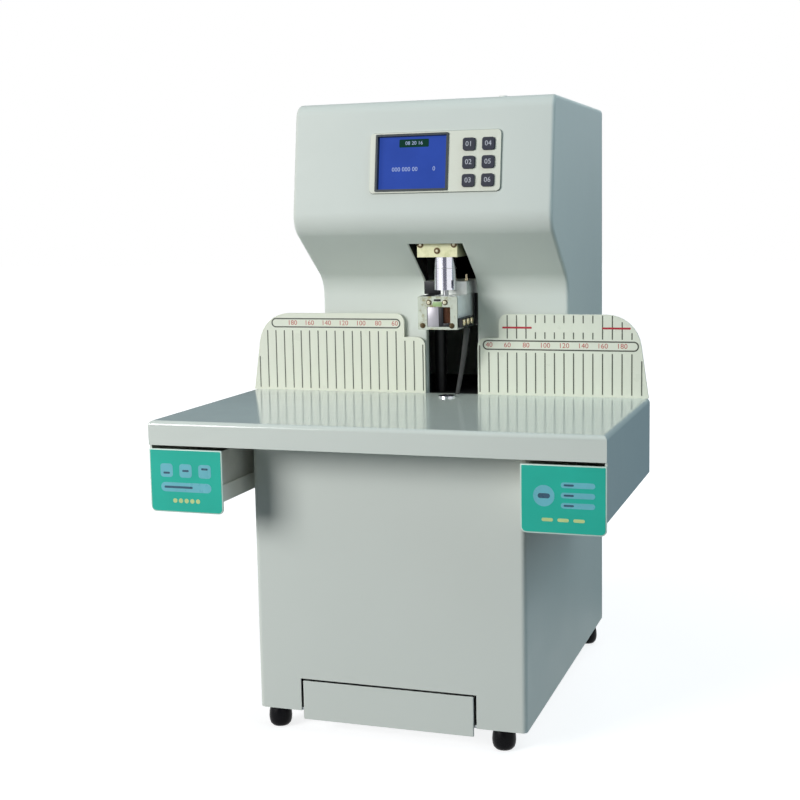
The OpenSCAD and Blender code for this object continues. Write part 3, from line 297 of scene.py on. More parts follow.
def finish(name, colour, roughness, drift, grain=(1200, 0.03), gloss=0.06, dust=0.0, lines=None,
           stain=None, metal=0.0, shine=0.5, dim=1.0):
    """A finish with tone drift (scale, amount), relief (scale, strength) and changing gloss.

    Where given it has drawn lines (stretch, depth of tone), stains (colour, scale, amount) and dust.
    """
    material = bpy.data.materials.new(name)
    material.use_nodes = True
    tree = material.node_tree
    shader = tree.nodes["Principled BSDF"]
    tone = tuple(dim * part for part in shade(*colour)[:3]) + (1.0,)
    colours = use(tree, TONE_DRIFT, {"Colour": tone, "Scale": drift[0], "Amount": drift[1]})["Colour"]
    relief = use(tree, FINE_GRAIN, {"Scale": grain[0]})
    height = relief["Height"]
    if stain:
        second, scale, amount = stain
        stained = use(tree, STAIN, {"Stain": shade(*second), "Scale": scale, "Amount": amount})["Colour"]
        tree.links.new(colours, stained.node.inputs["Colour"])
        colours = stained
    if lines:
        drawn = use(tree, DRAWN_LINES, {"Stretch": lines[0]})
        height = drawn["Height"]
        level = ramp(tree, drawn["Shade"], 0.3, 0.7, 1 - lines[1])
        colours = blend(tree, 1.0, colours, level, "MULTIPLY")
    if dust:
        lying = use(tree, SETTLED_DUST, {"Amount": dust})["Mask"]
        colours = blend(tree, lying, colours, DUST)
    tree.links.new(colours, shader.inputs["Base Color"])
    rough = ramp(tree, relief["Gloss"], 0.3, 0.7, roughness - gloss, roughness + gloss)
    tree.links.new(rough, shader.inputs["Roughness"])
    bump = node(tree, "Bump", {"Height": height, "Strength": grain[1], "Distance": 0.0005})
    tree.links.new(bump.outputs["Normal"], shader.inputs["Normal"])
    shader.inputs["Metallic"].default_value = metal
    shader.inputs["Specular IOR Level"].default_value = shine
    return material


CASING = finish("casing_paint", (214, 219, 211), 0.55, (5, 0.012), (1300, 0.05), dust=0.05, shine=0.2)
TABLE = finish("table_paint", (209, 215, 206), 0.12, (6, 0.012), (900, 0.012), gloss=0.03, dust=0.03,
               shine=0.55)
ENAMEL = finish("stop_enamel", (226, 229, 212), 0.32, (14, 0.012), (1100, 0.03), dust=0.05)
PANEL = finish("drawer_panel_paint", (206, 226, 214), 0.35, (20, 0.02), (1300, 0.04))
FILM = finish("drawer_film", (42, 182, 160), 0.34, (26, 0.05), (2500, 0.02), gloss=0.05, shine=0.25)
BEZEL = finish("bezel_plastic", (218, 220, 204), 0.42, (18, 0.012), (2600, 0.06))
SCREEN_EDGE = finish("screen_frame_plastic", (50, 57, 60), 0.42, (30, 0.05), (2600, 0.06), shine=0.25)
KEY = finish("key_rubber", (46, 48, 60), 0.5, (60, 0.06), (3000, 0.08), shine=0.2)
FOOT = finish("foot_rubber", (10, 10, 13), 0.3, (40, 0.12), (1800, 0.05), dust=0.02, shine=0.1)
ZINC = finish("zinc_yellow", (229, 227, 184), 0.42, (90, 0.06), (1500, 0.1),
              stain=((186, 188, 126), 110, 0.6), metal=0.1)
PLATE = finish("zinc_grey", (184, 190, 176), 0.38, (120, 0.1), (1500, 0.1),
               stain=((126, 118, 66), 130, 1.0), metal=0.3)
HEADS = finish("zinc_heads", (214, 208, 182), 0.34, (260, 0.2), (1800, 0.1), metal=0.5)
ALUMINIUM = finish("heater_aluminium", (178, 174, 180), 0.4, (60, 0.08), lines=((1400, 60, 60), 0.1),
                   metal=0.4)
TAB = finish("sensor_tab", (150, 176, 120), 0.4, (120, 0.15), (2000, 0.05))
CHROME = finish("chromed_steel", (232, 232, 240), 0.14, (20, 0.03), gloss=0.04, lines=((60, 60, 2600), 0.08),
                metal=1.0)
STEEL = finish("bare_steel", (176, 178, 180), 0.3, (30, 0.06), gloss=0.08, lines=((60, 60, 1800), 0.18),
               metal=1.0)
# Near-white presser paint: partly its own pale paint, partly painted light on the presser's right sides
PRESSER_PAINT_AND_LIGHT = finish("presser_paint", (247, 249, 245), 0.36, (40, 0.02), (1400, 0.06))
CARRIAGE = finish("carriage_paint", (242, 246, 240), 0.34, (40, 0.03), (1400, 0.08), metal=0.65)
# Near-black frame paint: partly its own black paint, partly painted shade inside the head
FRAME_PAINT_AND_SHADE = finish("frame_paint", (13, 13, 16), 0.65, (20, 0.1), (900, 0.12), dust=0.02, shine=0.2)
COPPER = finish("copper_brown", (128, 84, 62), 0.4, (90, 0.3), (1600, 0.08), metal=0.6)
BRASS = finish("brass_bright", (228, 214, 178), 0.26, (80, 0.12), lines=((80, 80, 2000), 0.12), metal=1.0)
WASHER = finish("washer_brown", (86, 70, 44), 0.42, (160, 0.3), (1800, 0.08), metal=0.6)
BLACK = finish("black_plastic", (22, 22, 26), 0.45, (40, 0.08), (2200, 0.06), dust=0.04, shine=0.3)
STRAP = finish("heater_strap", (48, 49, 48), 0.6, (60, 0.12), (900, 0.2), lines=((900, 900, 40), 0.2))
FOAM = finish("filter_foam", (10, 10, 12), 0.85, (400, 0.3), (700, 0.6), shine=0.1)
# Blackened steel: partly its own dark finish, partly painted shade inside the head
BLACKENED_AND_SHADE = finish("blackened_steel_and_shade", (15, 15, 18), 0.5, (40, 0.15), lines=((60, 60, 900), 0.2))
BOARD = finish("board_green", (24, 74, 48), 0.35, (300, 0.18), (1400, 0.05))
GALVANISED = finish("galvanised", (178, 184, 186), 0.38, (160, 0.1), (500, 0.05), metal=0.8)
# Tubs and channels are paler than their paint: partly their own light tone, partly painted light where they
# sit in the table's shadow
TUB_ZINC_AND_LIGHT = finish("tub_zinc_and_light", (228, 226, 216), 0.42, (90, 0.05), (600, 0.05), metal=0.15)
# Grey of the ring round the bezel: painted shade of the gap there
SHADE_RING_GREY = finish("bezel_shade_grey", (134, 138, 130), 0.6, (60, 0.05), (2200, 0.08))
CHANNEL_PAINT_AND_LIGHT = finish("channel_paint_and_light", (246, 244, 233), 0.5, (30, 0.03), (1300, 0.05), dust=0.04)
NYLON = finish("white_nylon", (232, 232, 224), 0.45, (30, 0.02), (1500, 0.04), dust=0.1)
PRINT_DARK = finish("ruler_ink", (74, 78, 66), 0.45, (200, 0.12), (2600, 0.04))
PRINT_RED = finish("number_ink", (190, 98, 90), 0.45, (220, 0.1), (2600, 0.04))
PRINT_LIMIT = finish("limit_ink", (176, 36, 50), 0.42, (200, 0.08), (2600, 0.04))
PRINT_PALE = finish("key_ink", (186, 188, 196), 0.45, (200, 0.05), (2600, 0.04))
FILM_PALE = finish("film_pale_blue", (104, 184, 196), 0.3, (60, 0.06), (2500, 0.02))
FILM_DEEP = finish("film_deep_blue", (34, 78, 100), 0.3, (80, 0.1), (2500, 0.02))
FILM_LIME = finish("film_lime", (196, 214, 142), 0.3, (60, 0.06), (2500, 0.02))


def screen_finish(name, colour, glow):
    """A lit display: dark glass with a glow whose tone drifts slightly."""
    material = finish(name, colour, 0.22, (26, 0.06), (2600, 0.01), gloss=0.03, shine=0.02, dim=0.2)
    tree = material.node_tree
    shader = tree.nodes["Principled BSDF"]
    lit = use(tree, TONE_DRIFT, {"Colour": shade(*colour), "Scale": 30, "Amount": 0.08})["Colour"]
    tree.links.new(lit, shader.inputs["Emission Color"])
    shader.inputs["Emission Strength"].default_value = glow
    return material


SCREEN = screen_finish("screen_blue", (50, 78, 168), 0.8)
SCREEN_BAR = screen_finish("screen_bar", (24, 70, 56), 0.5)
SCREEN_MARK = screen_finish("screen_mark", (178, 194, 232), 0.7)

# ---------------- mesh helpers, in millimetres


def facing(turn, x, y, z):
    """Frame with x across, y up and z outward, turned from the front by degrees about the vertical."""
    return (
        Matrix.Translation((x, y, z))
        @ Matrix.Rotation(math.radians(turn), 4, "Z")
        @ Matrix.Rotation(math.pi / 2, 4, "X")
    )


def facing_front(x, y, z):
    return facing(0, x, y, z)


def facing_right(x, y, z):
    return facing(90, x, y, z)


def facing_rear(x, y, z):
    return facing(180, x, y, z)


def on_face(x, up, out):
    """Frame on the leaning face: x across, y up the face, z outward."""
    return (
        Matrix.Translation((0, NOSE_Y, NOSE_Z))
        @ Matrix.Rotation(math.pi / 2 - LEAN, 4, "X")
        @ Matrix.Translation((x, up, out))
    )


def thickened(mesh, thickness):
    """The mesh as sheet metal, its thickness put behind its faces."""
    shown = link("sheet", mesh)
    wall = shown.modifiers.new("wall", "SOLIDIFY")
    wall.thickness = thickness * MM
    wall.offset = -1
    wall.use_even_offset = True
    bpy.context.view_layer.update()
    made = bpy.data.meshes.new_from_object(shown.evaluated_get(bpy.context.evaluated_depsgraph_get()))
    bpy.data.objects.remove(shown)
    bpy.data.meshes.remove(mesh)
    return made


def piece(name, bm, material, body, stands_for=(), sharp=35, sheet=0.0):
    """Turns a bmesh in millimetres into a piece that rides on a body."""
    bmesh.ops.remove_doubles(bm, verts=bm.verts, dist=1e-4)
    bmesh.ops.scale(bm, vec=(MM, MM, MM), verts=bm.verts)
    mesh = bpy.data.meshes.new(name)
    bm.to_mesh(mesh)
    bm.free()
    if sheet:
        mesh = thickened(mesh, sheet)
        mesh.name = name
    for face in mesh.polygons:
        face.use_smooth = True
    mesh.set_sharp_from_angle(angle=math.radians(sharp))
    mesh.materials.append(material)
    made = link(name, mesh)
    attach(made, body)
    if stands_for:
        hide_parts(*stands_for)
    return made


def round_edges(bm, edges, radius):
    bmesh.ops.bevel(bm, geom=list(edges), offset=radius, segments=2, profile=0.5, affect="EDGES")


def add_slab(bm, outline, depth, place, edge=0.0):
    """An outline raised along its frame's z, with its upper rim rounded by edge."""
    foot = [bm.verts.new(place @ Vector((x, y, 0))) for x, y in outline]
    top = [bm.verts.new(place @ Vector((x, y, depth))) for x, y in outline]
    bm.faces.new(list(reversed(foot)))
    lid = bm.faces.new(top)
    for i in range(len(foot)):
        j = (i + 1) % len(foot)
        bm.faces.new((foot[i], foot[j], top[j], top[i]))
    if edge:
        round_edges(bm, lid.edges, edge)


def add_box(bm, low, high, edge=0.0):
    """A box between two corners with all its edges rounded."""
    made = bmesh.ops.create_cube(bm, size=1)["verts"]
    low, high = Vector(low), Vector(high)
    for vert in made:
        for axis in range(3):
            vert.co[axis] = high[axis] if vert.co[axis] > 0 else low[axis]
    if edge:
        round_edges(bm, dict.fromkeys(e for v in made for e in v.link_edges), edge)


def circle(radius, steps):
    """Outline of a circle about its middle."""
    turns = [2 * math.pi * k / steps for k in range(steps)]
    return [(radius * math.cos(turn), radius * math.sin(turn)) for turn in turns]


def add_turned(bm, profile, place, sides):
    """A profile of (radius, height) turned round its frame's z."""
    rings = []
    for radius, height in profile:
        outline = circle(radius, sides) if radius else [(0, 0)]
        rings.append([bm.verts.new(place @ Vector((x, y, height))) for x, y in outline])
    for lower, upper in zip(rings, rings[1:]):
        for k in range(sides):
            n = (k + 1) % sides
            corners = [ring[i % len(ring)] for ring, i in ((lower, k), (lower, n), (upper, n), (upper, k))]
            bm.faces.new(list(dict.fromkeys(corners)))


def rounded(width, height, radius, steps=6):
    """Outline of a rounded rectangle about its middle; radius may be one for each corner."""
    radii = radius if isinstance(radius, (tuple, list)) else (radius,) * 4
    points = []
    corners = ((1, -1), (1, 1), (-1, 1), (-1, -1))
    for quarter, ((sx, sy), r) in enumerate(zip(corners, radii)):
        r = max(r, 1e-3)
        for k in range(steps + 1):
            angle = math.radians(-90 + 90 * quarter + 90 * k / steps)
            points.append((
                sx * (width / 2 - r) + r * math.cos(angle), sy * (height / 2 - r) + r * math.sin(angle)))
    return points


def shifted(outline, dx, dy):
    return [(x + dx, y + dy) for x, y in outline]


def add_ring(bm, outer, inner, depth, place):
    """A flat band between two outlines of equally many points."""
    count = len(outer)
    levels = []
    for outline in (outer, inner):
        for height in (0, depth):
            levels.append([bm.verts.new(place @ Vector((x, y, height))) for x, y in outline])
    outer_foot, outer_top, inner_foot, inner_top = levels
    for i in range(count):
        j = (i + 1) % count
        bm.faces.new((outer_foot[i], outer_foot[j], outer_top[j], outer_top[i]))
        bm.faces.new((inner_foot[j], inner_foot[i], inner_top[i], inner_top[j]))
        bm.faces.new((outer_top[i], outer_top[j], inner_top[j], inner_top[i]))
        bm.faces.new((outer_foot[j], outer_foot[i], inner_foot[i], inner_foot[j]))


def join_rings(bm, rings):
    """Faces between rings of equally many points, closed at both ends."""
    count = len(rings[0])
    for lower, upper in zip(rings, rings[1:]):
        for i in range(count):
            j = (i + 1) % count
            bm.faces.new((lower[i], lower[j], upper[j], upper[i]))
    bm.faces.new(list(reversed(rings[0])))
    bm.faces.new(rings[-1])


def add_digits(bm, digits, size, place, depth=0.1, width=1.0):
    """Numbers raised a little from their frame's plane, centred on it."""
    curve = bpy.data.curves.new("digits", "FONT")
    curve.body = digits
    curve.size = size
    curve.align_x = "CENTER"
    curve.align_y = "CENTER"
    curve.resolution_u = 3
    curve.extrude = depth / 2
    shown = bpy.data.objects.new("digits", curve)
    mesh = bpy.data.meshes.new_from_object(shown)
    mesh.transform(place @ Matrix.Translation((0, 0, depth / 2)) @ Matrix.Diagonal((width, 1, 1, 1)))
    bm.from_mesh(mesh)
    bpy.data.meshes.remove(mesh)
    bpy.data.objects.remove(shown)
    bpy.data.curves.remove(curve)


def shape(*steps):
    """A new bmesh made by steps, each an add function with what it takes after the bmesh."""
    bm = bmesh.new()
    for add, *given in steps:
        add(bm, *given)
    return bm


# ---------------- head cover and sides

SAME_WAY = 0.9999
RUN_REACH = 400
TO_FRONT = -0.9  # a normal with less along y looks to the front


def outward(start, end):
    """Normal of a run of the profile, away from the machine."""
    step = (end - start).normalized()
    return Vector((-step.y, step.x))


def head_stations():
    """Points of the head's profile as (y, z) with their outward normals, from the table to the rear lip."""
    points = [
        Vector((COLUMN_Y, cover_lo.z)),
        Vector((COLUMN_Y, NOSE_Z - NOSE_RISE)),
        Vector((NOSE_Y, NOSE_Z)),
        Vector((TOP_Y, cover_hi.z)),
        Vector((cover_hi.y, cover_hi.z)),
        Vector((cover_hi.y, cover_hi.z - REAR_LIP)),
    ]
    radii = [0, CROOK_R, NOSE_R, TOP_R, REAR_R, 0]
    stations = [(points[0], outward(points[0], points[1]))]
    for before, corner, after, radius in zip(points, points[1:], points[2:], radii[1:]):
        u, v = (before - corner).normalized(), (after - corner).normalized()
        half = math.acos(u.dot(v)) / 2
        centre = corner + (u + v).normalized() * radius / math.sin(half)
        first, last = outward(before, corner), outward(corner, after)
        convex = 1 if (corner - centre).dot(first) > 0 else -1
        turn = math.atan2(first.x * last.y - first.y * last.x, first.dot(last))
        for k in range(BEND_STEPS + 1):
            angle = turn * k / BEND_STEPS
            normal = Vector((
                first.x * math.cos(angle) - first.y * math.sin(angle),
                first.x * math.sin(angle) + first.y * math.cos(angle),
            ))
            stations.append((centre + normal * convex * radius, normal))
    stations.append((points[-1], outward(points[-2], points[-1])))
    return stations


def cut_at(stations, axis, value, near):
    """Adds a station on the straight run near a point where y or z passes a value."""
    for i, ((a, m), (b, n)) in enumerate(zip(stations, stations[1:])):
        low, high = sorted((a[axis], b[axis]))
        straight = m.dot(n) > SAME_WAY and (a - near).length + (b - near).length < RUN_REACH
        if straight and low < value < high:
            share = (value - a[axis]) / (b[axis] - a[axis])
            stations.insert(i + 1, (a.lerp(b, share), m))
            return
    raise ValueError("no straight run passes %s" % value)


def head_cover():
    stations = head_stations()
    notch_left, notch_right = ZERO_X - NOTCH_W / 2, ZERO_X + NOTCH_W / 2
    window_left, window_right = BEZEL_X - WINDOW_W / 2, BEZEL_X + WINDOW_W / 2
    bush = Vector(((bush_lo.x + bush_hi.x) / 2, (bush_lo.y + bush_hi.y) / 2))
    face = Vector((NOSE_Y, NOSE_Z))
    top = Vector((bush.y, cover_hi.z))
    cut_at(stations, 1, NOTCH_Z, face)
    for side in (-1, 1):
        cut_at(stations, 1, NOSE_Z + (BEZEL_UP + side * WINDOW_H / 2) * math.cos(LEAN), face)
        cut_at(stations, 0, bush.y + side * BUSH_HOLE, top)

    columns = []
    for k in range(SIDE_STEPS + 1):
        angle = math.pi / 2 * (1 - k / SIDE_STEPS)
        columns.append((-HALF_W + SIDE_R * (1 - math.sin(angle)), SIDE_R * (1 - math.cos(angle))))
    marks = [notch_left - NOTCH_R, notch_right + NOTCH_R, window_left, window_right,
             bush.x - BUSH_HOLE, bush.x + BUSH_HOLE]
    columns += [(x, 0.0) for x in sorted(marks)]
    columns += [(-x, inset) for x, inset in reversed(columns[:SIDE_STEPS + 1])]

    bm = bmesh.new()

    def vert(station, x, inset):
        point, normal = stations[station]
        at = point - normal * inset
        return bm.verts.new((x, at.x, at.y))

    def strip(first, last, x0, inset0, x1, inset1):
        for s in range(first, last):
            bm.faces.new((
                vert(s, x0, inset0), vert(s, x1, inset1), vert(s + 1, x1, inset1), vert(s + 1, x0, inset0),
            ))

    def is_open(station, x):
        middle = (stations[station][0] + stations[station + 1][0]) / 2
        leaning = stations[station][1].x < TO_FRONT and middle.y > NOSE_Z
        up = (middle.y - NOSE_Z) / math.cos(LEAN)
        in_notch = notch_left - NOTCH_R < x < notch_right + NOTCH_R and middle.y < NOTCH_Z
        in_window = window_left < x < window_right and leaning and abs(up - BEZEL_UP) < WINDOW_H / 2
        on_top = middle.y > cover_hi.z - SHEET
        in_bush_hole = on_top and max(abs(x - bush.x), abs(middle.x - bush.y)) < BUSH_HOLE
        return in_notch or in_window or in_bush_hole

    for (x0, inset0), (x1, inset1) in zip(columns, columns[1:]):
        for s in range(len(stations) - 1):
            if not is_open(s, (x0 + x1) / 2):
                strip(s, s + 1, x0, inset0, x1, inset1)
    # Rolled edges and returns of the notch
    notch_top = next(i for i, (point, _) in enumerate(stations) if abs(point.y - NOTCH_Z) < 0.01)
    notch_sides = ((notch_left, 1), (notch_right, -1))
    turns = [math.pi / 2 * k / NOTCH_STEPS for k in range(NOTCH_STEPS + 1)]
    for edge, side in notch_sides:
        roll = [
            (edge - side * NOTCH_R * (1 - math.sin(turn)), NOTCH_R * (1 - math.cos(turn))) for turn in turns
        ] + [(edge, NOTCH_RETURN)]
        for (x0, inset0), (x1, inset1) in zip(roll, roll[1:]):
            if side > 0:
                strip(0, notch_top, x0, inset0, x1, inset1)
            else:
                strip(0, notch_top, x1, inset1, x0, inset0)
    piece("head_cover", bm, CASING, "machine", ("head_front_cover",), sharp=40, sheet=SHEET)

    # Black sheet on the notch's returns: painted shade where the returns, in the cover's paint, lie in shadow
    bm = bmesh.new()
    for edge, side in notch_sides:
        near, far = sorted((edge, edge + side * SHADE_LINING_T))
        rings = []
        for s in range(notch_top + 1):
            rise = (stations[s][0].y - NOSE_Z + NOSE_RISE + SHADE_LINING_BLEND / 2) / SHADE_LINING_BLEND
            rise = min(max(rise, 0), 1)
            lip = NOTCH_LIP[0] + (NOTCH_LIP[1] - NOTCH_LIP[0]) * rise
            rings.append([vert(s, x, inset) for x, inset in (
                (near, lip), (far, lip), (far, NOTCH_RETURN), (near, NOTCH_RETURN))])
        join_rings(bm, rings)
    piece("notch_shade_lining", bm, FRAME_PAINT_AND_SHADE, "machine")


def side_panel(name, side, node_name):
    """A flat side sheet whose front edge meets the cover's rolled edge."""
    stations = head_stations()
    outline = [point - normal * SIDE_R for point, normal in stations]
    base = ((cover_hi.y, base_lo.z), (base_hi.y, base_lo.z), (base_hi.y, base_hi.z))
    outline += [Vector(corner) for corner in base]
    bm = bmesh.new()
    verts = [bm.verts.new((side * HALF_W, p.x, p.y)) for p in outline]
    sheet = bm.faces.new(verts if side < 0 else list(reversed(verts)))
    sheet.normal_update()
    bmesh.ops.triangulate(bm, faces=[sheet])
    piece(name, bm, CASING, "machine", (node_name,), sheet=SHEET)


head_cover()
side_panel("left_side_sheet", -1, "left_side_panel")
side_panel("right_side_sheet", 1, "right_side_panel")

# ---------------- ruler prints on the stop plates

INK = 0.1
TICK_W = 1.2
TICK_FOOT = 2.5
BAND_H = 10.5
BAND_LINE = 1.4
NUMBER_SIZE = 7.4
NUMBER_WIDTH = 1.02
RULER_OUT = 1.35  # how far the zero of each ruler lies out from the middle
PLATE_Y = left_stop_lo.y
LEFT_BAND_Z = 74.2
RIGHT_BAND_Z = 52.6
# Tops of the lines under the bands, as (for places up to, top)
LEFT_TOPS = ((30, 52), (50, 56), (210, 66), (220, 37))
RIGHT_TOPS = ((30, 52), (190, 45), (200, 38))
# Rows of short lines above the right band, and the places of those that run through
LOW_ROW = (59.5, 66.5)
HIGH_ROW = (76, 84)
THROUGH = (60, 70, 80, 160, 170)
CORNER_TICK = (180, LOW_ROW[1], 77.5)
LIMIT_LINES = ((56, 87.5), (161, 190))
LIMIT_W = 2.0
LIMIT_Z = 71


def on_stop(x, up):
    """Frame on the face of the stop plates, from the ruler's zero and the table."""
    return facing_front(ZERO_X + x, PLATE_Y, TABLE_Z + up)


def ruler_ticks(name, side, runs):
    """Upright lines, given as (place, foot, top)."""
    bm = bmesh.new()
    for at, foot, top in runs:
        place = on_stop(side * (at + RULER_OUT), (foot + top) / 2)
        add_slab(bm, rounded(TICK_W, top - foot, 0.3, 1), INK, place)
    piece(name, bm, PRINT_DARK, "machine")


def low_ticks(last, tops):
    """Lines under a band, one each 10 mm."""
    return [
        (at, TICK_FOOT, next(top for reach, top in tops if at <= reach)) for at in range(30, last + 1, 10)
    ]


def ruler_band(name, first, last, middle):
    width, half = last - first, BAND_H / 2
    outer = rounded(width, BAND_H, half, 10)
    inner = rounded(width - 2 * BAND_LINE, BAND_H - 2 * BAND_LINE, half - BAND_LINE, 10)
    bm = shape((add_ring, outer, inner, INK, on_stop((first + last) / 2, middle)))
    piece(name, bm, PRINT_DARK, "machine")


def ruler_numbers(name, side, middle, values):
    """Numbers in a band, given as (number, place)."""
    bm = bmesh.new()
    for value, at in values:
        place = on_stop(side * (at + RULER_OUT), middle)
        add_digits(bm, str(value), NUMBER_SIZE, place, INK, NUMBER_WIDTH)
    piece(name, bm, PRINT_RED, "machine")


def limit_line():
    bm = bmesh.new()
    for first, last in LIMIT_LINES:
        place = on_stop((first + last) / 2, LIMIT_Z)
        add_slab(bm, rounded(last - first, LIMIT_W, 0.6, 3), 1.5 * INK, place)
    piece("right_limit_line", bm, PRINT_LIMIT, "machine")


ruler_ticks("left_ruler_ticks", -1, low_ticks(220, LEFT_TOPS))
ruler_band("left_ruler_band", -206.4, -56.1, LEFT_BAND_Z)
ruler_numbers("left_ruler_numbers", -1, LEFT_BAND_Z, [(60, 61.2)] + [(i, i) for i in range(80, 181, 20)])
ruler_ticks("right_ruler_ticks", 1, (
    low_ticks(200, RIGHT_TOPS)
    + [(at, LOW_ROW[0], HIGH_ROW[1] if at in THROUGH else LOW_ROW[1]) for at in range(60, 191, 10)]
    + [(at, *HIGH_ROW) for at in range(90, 151, 10)]
    + [CORNER_TICK]
))
ruler_band("right_ruler_band", 34.7, 198.5, RIGHT_BAND_Z)
ruler_numbers("right_ruler_numbers", 1, RIGHT_BAND_Z, [(40, 40.4)] + [(i, i) for i in range(60, 181, 20)])
limit_line()

# ---------------- control panel

LCD_X = (lcd_lo.x + lcd_hi.x) / 2
LCD_FACE = -2.8
SCREEN_H = 53.1
KEY_X = 45.5
KEY_PITCH_X = 19.7
KEY_PITCH_Y = 17.9
KEY_TOP = 3.8
KEY_DIGIT = 7
KEYS_DROP = 1.7
BEZEL_H = 60.2
BEZEL_R = 4
SHADE_RING = 0.6
SHADE_RING_LAP = 0.5
BAR_OUTLINE = (31, 8, 0.8, 2)
BAR_DIGIT = 5.2
BAR_X = LCD_X + 0.6
BAR_UP = BEZEL_UP + SCREEN_H / 2 - 6.4
COUNT_DIGIT = 6
COUNTS_UP = BEZEL_UP - 6
COUNTS_X = (LCD_X - 8.6, LCD_X + 22)


def screen_marks():
    bar = shape((add_slab, rounded(*BAR_OUTLINE), INK, on_face(BAR_X, BAR_UP, LCD_FACE)))
    piece("screen_bar", bar, SCREEN_BAR, "machine")
    digits = shape(
        (add_digits, "08 20 16", BAR_DIGIT, on_face(BAR_X, BAR_UP, LCD_FACE + INK)),
        (add_digits, "000 000 00", COUNT_DIGIT, on_face(COUNTS_X[0], COUNTS_UP, LCD_FACE)),
        (add_digits, "0", COUNT_DIGIT, on_face(COUNTS_X[1], COUNTS_UP, LCD_FACE)),
    )
    piece("screen_digits", digits, SCREEN_MARK, "machine")


def bezel_gasket():
    """Thin grey ring round the bezel: painted shade in the gap between bezel and face."""
    width = bezel_hi.x - bezel_lo.x
    outer = rounded(width + 2 * SHADE_RING, BEZEL_H + 2 * SHADE_RING, BEZEL_R + SHADE_RING)
    inner = rounded(width - 2 * SHADE_RING_LAP, BEZEL_H - 2 * SHADE_RING_LAP, BEZEL_R - SHADE_RING_LAP)
    bm = shape((add_ring, outer, inner, 0.5, on_face(BEZEL_X, BEZEL_UP, 0)))
    piece("bezel_gasket", bm, SHADE_RING_GREY, "machine")


def key_digit(number):
    column, row = divmod(number - 1, 3)
    x = BEZEL_X + KEY_X + (column - 0.5) * KEY_PITCH_X
    up = BEZEL_UP - KEYS_DROP + (1 - row) * KEY_PITCH_Y
    bm = shape((add_digits, "%02d" % number, KEY_DIGIT, on_face(x, up, KEY_TOP)))
    piece("key_%d_digit" % number, bm, PRINT_PALE, "key_%d" % number)


bezel_gasket()
screen_marks()
for number in range(1, 7):
    key_digit(number)

# ---------------- drawers

LABEL_T = 0.2
RIM = 1.1
OVERPRINT = 0.05  # how far a second ink stands on the first


def drawer_face(side, body, node_name):
    """A drawer's front with its film; returns the frame on the film."""
    low, high = box(node_name)
    width, height = high.x - low.x, high.z - low.z
    middle_x, middle_z = (low.x + high.x) / 2, (low.z + high.z) / 2
    front = low.y + 2 * LABEL_T
    back = facing_front(middle_x, high.y, middle_z)
    panel = shape((add_slab, rounded(width, height, (5, 0.8, 0.8, 5)), high.y - front, back, 0.35))
    piece(side + "_drawer_panel", panel, PANEL, body, (node_name,))
    outline = rounded(width - 2 * RIM, height - 2 * RIM, (4.2, 0.8, 0.8, 4.2))
    film = shape((add_slab, outline, LABEL_T, facing_front(middle_x, front, middle_z)))
    piece(side + "_drawer_film", film, FILM, body)
    return facing_front(middle_x, front - LABEL_T, middle_z)


def row(outline, x, y, step_x, step_y, count):
    """An outline repeated in a row that starts at a point."""
    return [shifted(outline, x + step_x * i, y + step_y * i) for i in range(count)]


def drawer_motifs(side, body, place, pale, deep, lime):
    """Plain shapes printed on a drawer's film."""
    raised = place @ Matrix.Translation((0, 0, OVERPRINT))
    for tone, material, at, outlines in (
        ("pale", FILM_PALE, place, pale), ("deep", FILM_DEEP, raised, deep), ("lime", FILM_LIME, place, lime),
    ):
        bm = shape(*((add_slab, outline, INK, at) for outline in outlines))
        piece("%s_drawer_%s" % (side, tone), bm, material, body)


left_place = drawer_face("left", "left_drawer", "left_drawer_front")
right_place = drawer_face("right", "right_drawer", "right_drawer_front")
drawer_motifs(
    "left", "left_drawer", left_place,
    row(rounded(13, 13, 3), -20, 10, 20, 0, 3) + [shifted(rounded(53, 9, 4.5), 0, -6)],
    row(rounded(7, 2, 1, 3), -20, 7.6, 20, 2.4, 3) + [shifted(rounded(30, 2.2, 1.1, 3), -8, -6)],
    row(circle(2.2, 28), -12, -19, 6, 0, 5),
)
drawer_motifs(
    "right", "right_drawer", right_place,
    [shifted(circle(9.5, 28), -17, 3)] + row(rounded(30, 5, 2.5), 13, 13, 0, -9, 3),
    [shifted(rounded(11, 4.4, 2.2), -17, 3)] + row(rounded(9, 1.8, 0.9, 3), 5, 13, 0, -9, 3),
    row(rounded(10, 3, 1.5), -14, -18, 14, 0, 3),
)

# ---------------- feet

FOOT_D = 23
FOOT_LEFT_IN = 15.6
FOOT_RIGHT_IN = 25.4
# Shares of a foot's radius and height
FOOT_PROFILE = (
    (0, 0), (0.46, 0), (0.72, 0.04), (0.89, 0.14), (0.97, 0.28), (1, 0.46), (0.97, 0.66), (0.9, 0.84),
    (0.84, 0.94), (0.82, 1), (0, 1),
)


def bulb_feet():
    """Turned rubber feet, widest at half their height."""
    low, high = box("rubber_feet")
    tall, r = high.z, FOOT_D / 2
    profile = [(r * width, tall * height) for width, height in FOOT_PROFILE]
    bm = bmesh.new()
    for x, y in ((FOOT_LEFT_IN - HALF_W, low.y + r), (HALF_W - FOOT_RIGHT_IN, low.y + r),
                 (low.x + r, high.y - r), (high.x - r, high.y - r)):
        add_turned(bm, profile, Matrix.Translation((x, y, 0)), 36)
    piece("bulb_feet", bm, FOOT, "machine", ("rubber_feet",), sharp=60)


bulb_feet()

# ---------------- screws, presser and heater strap

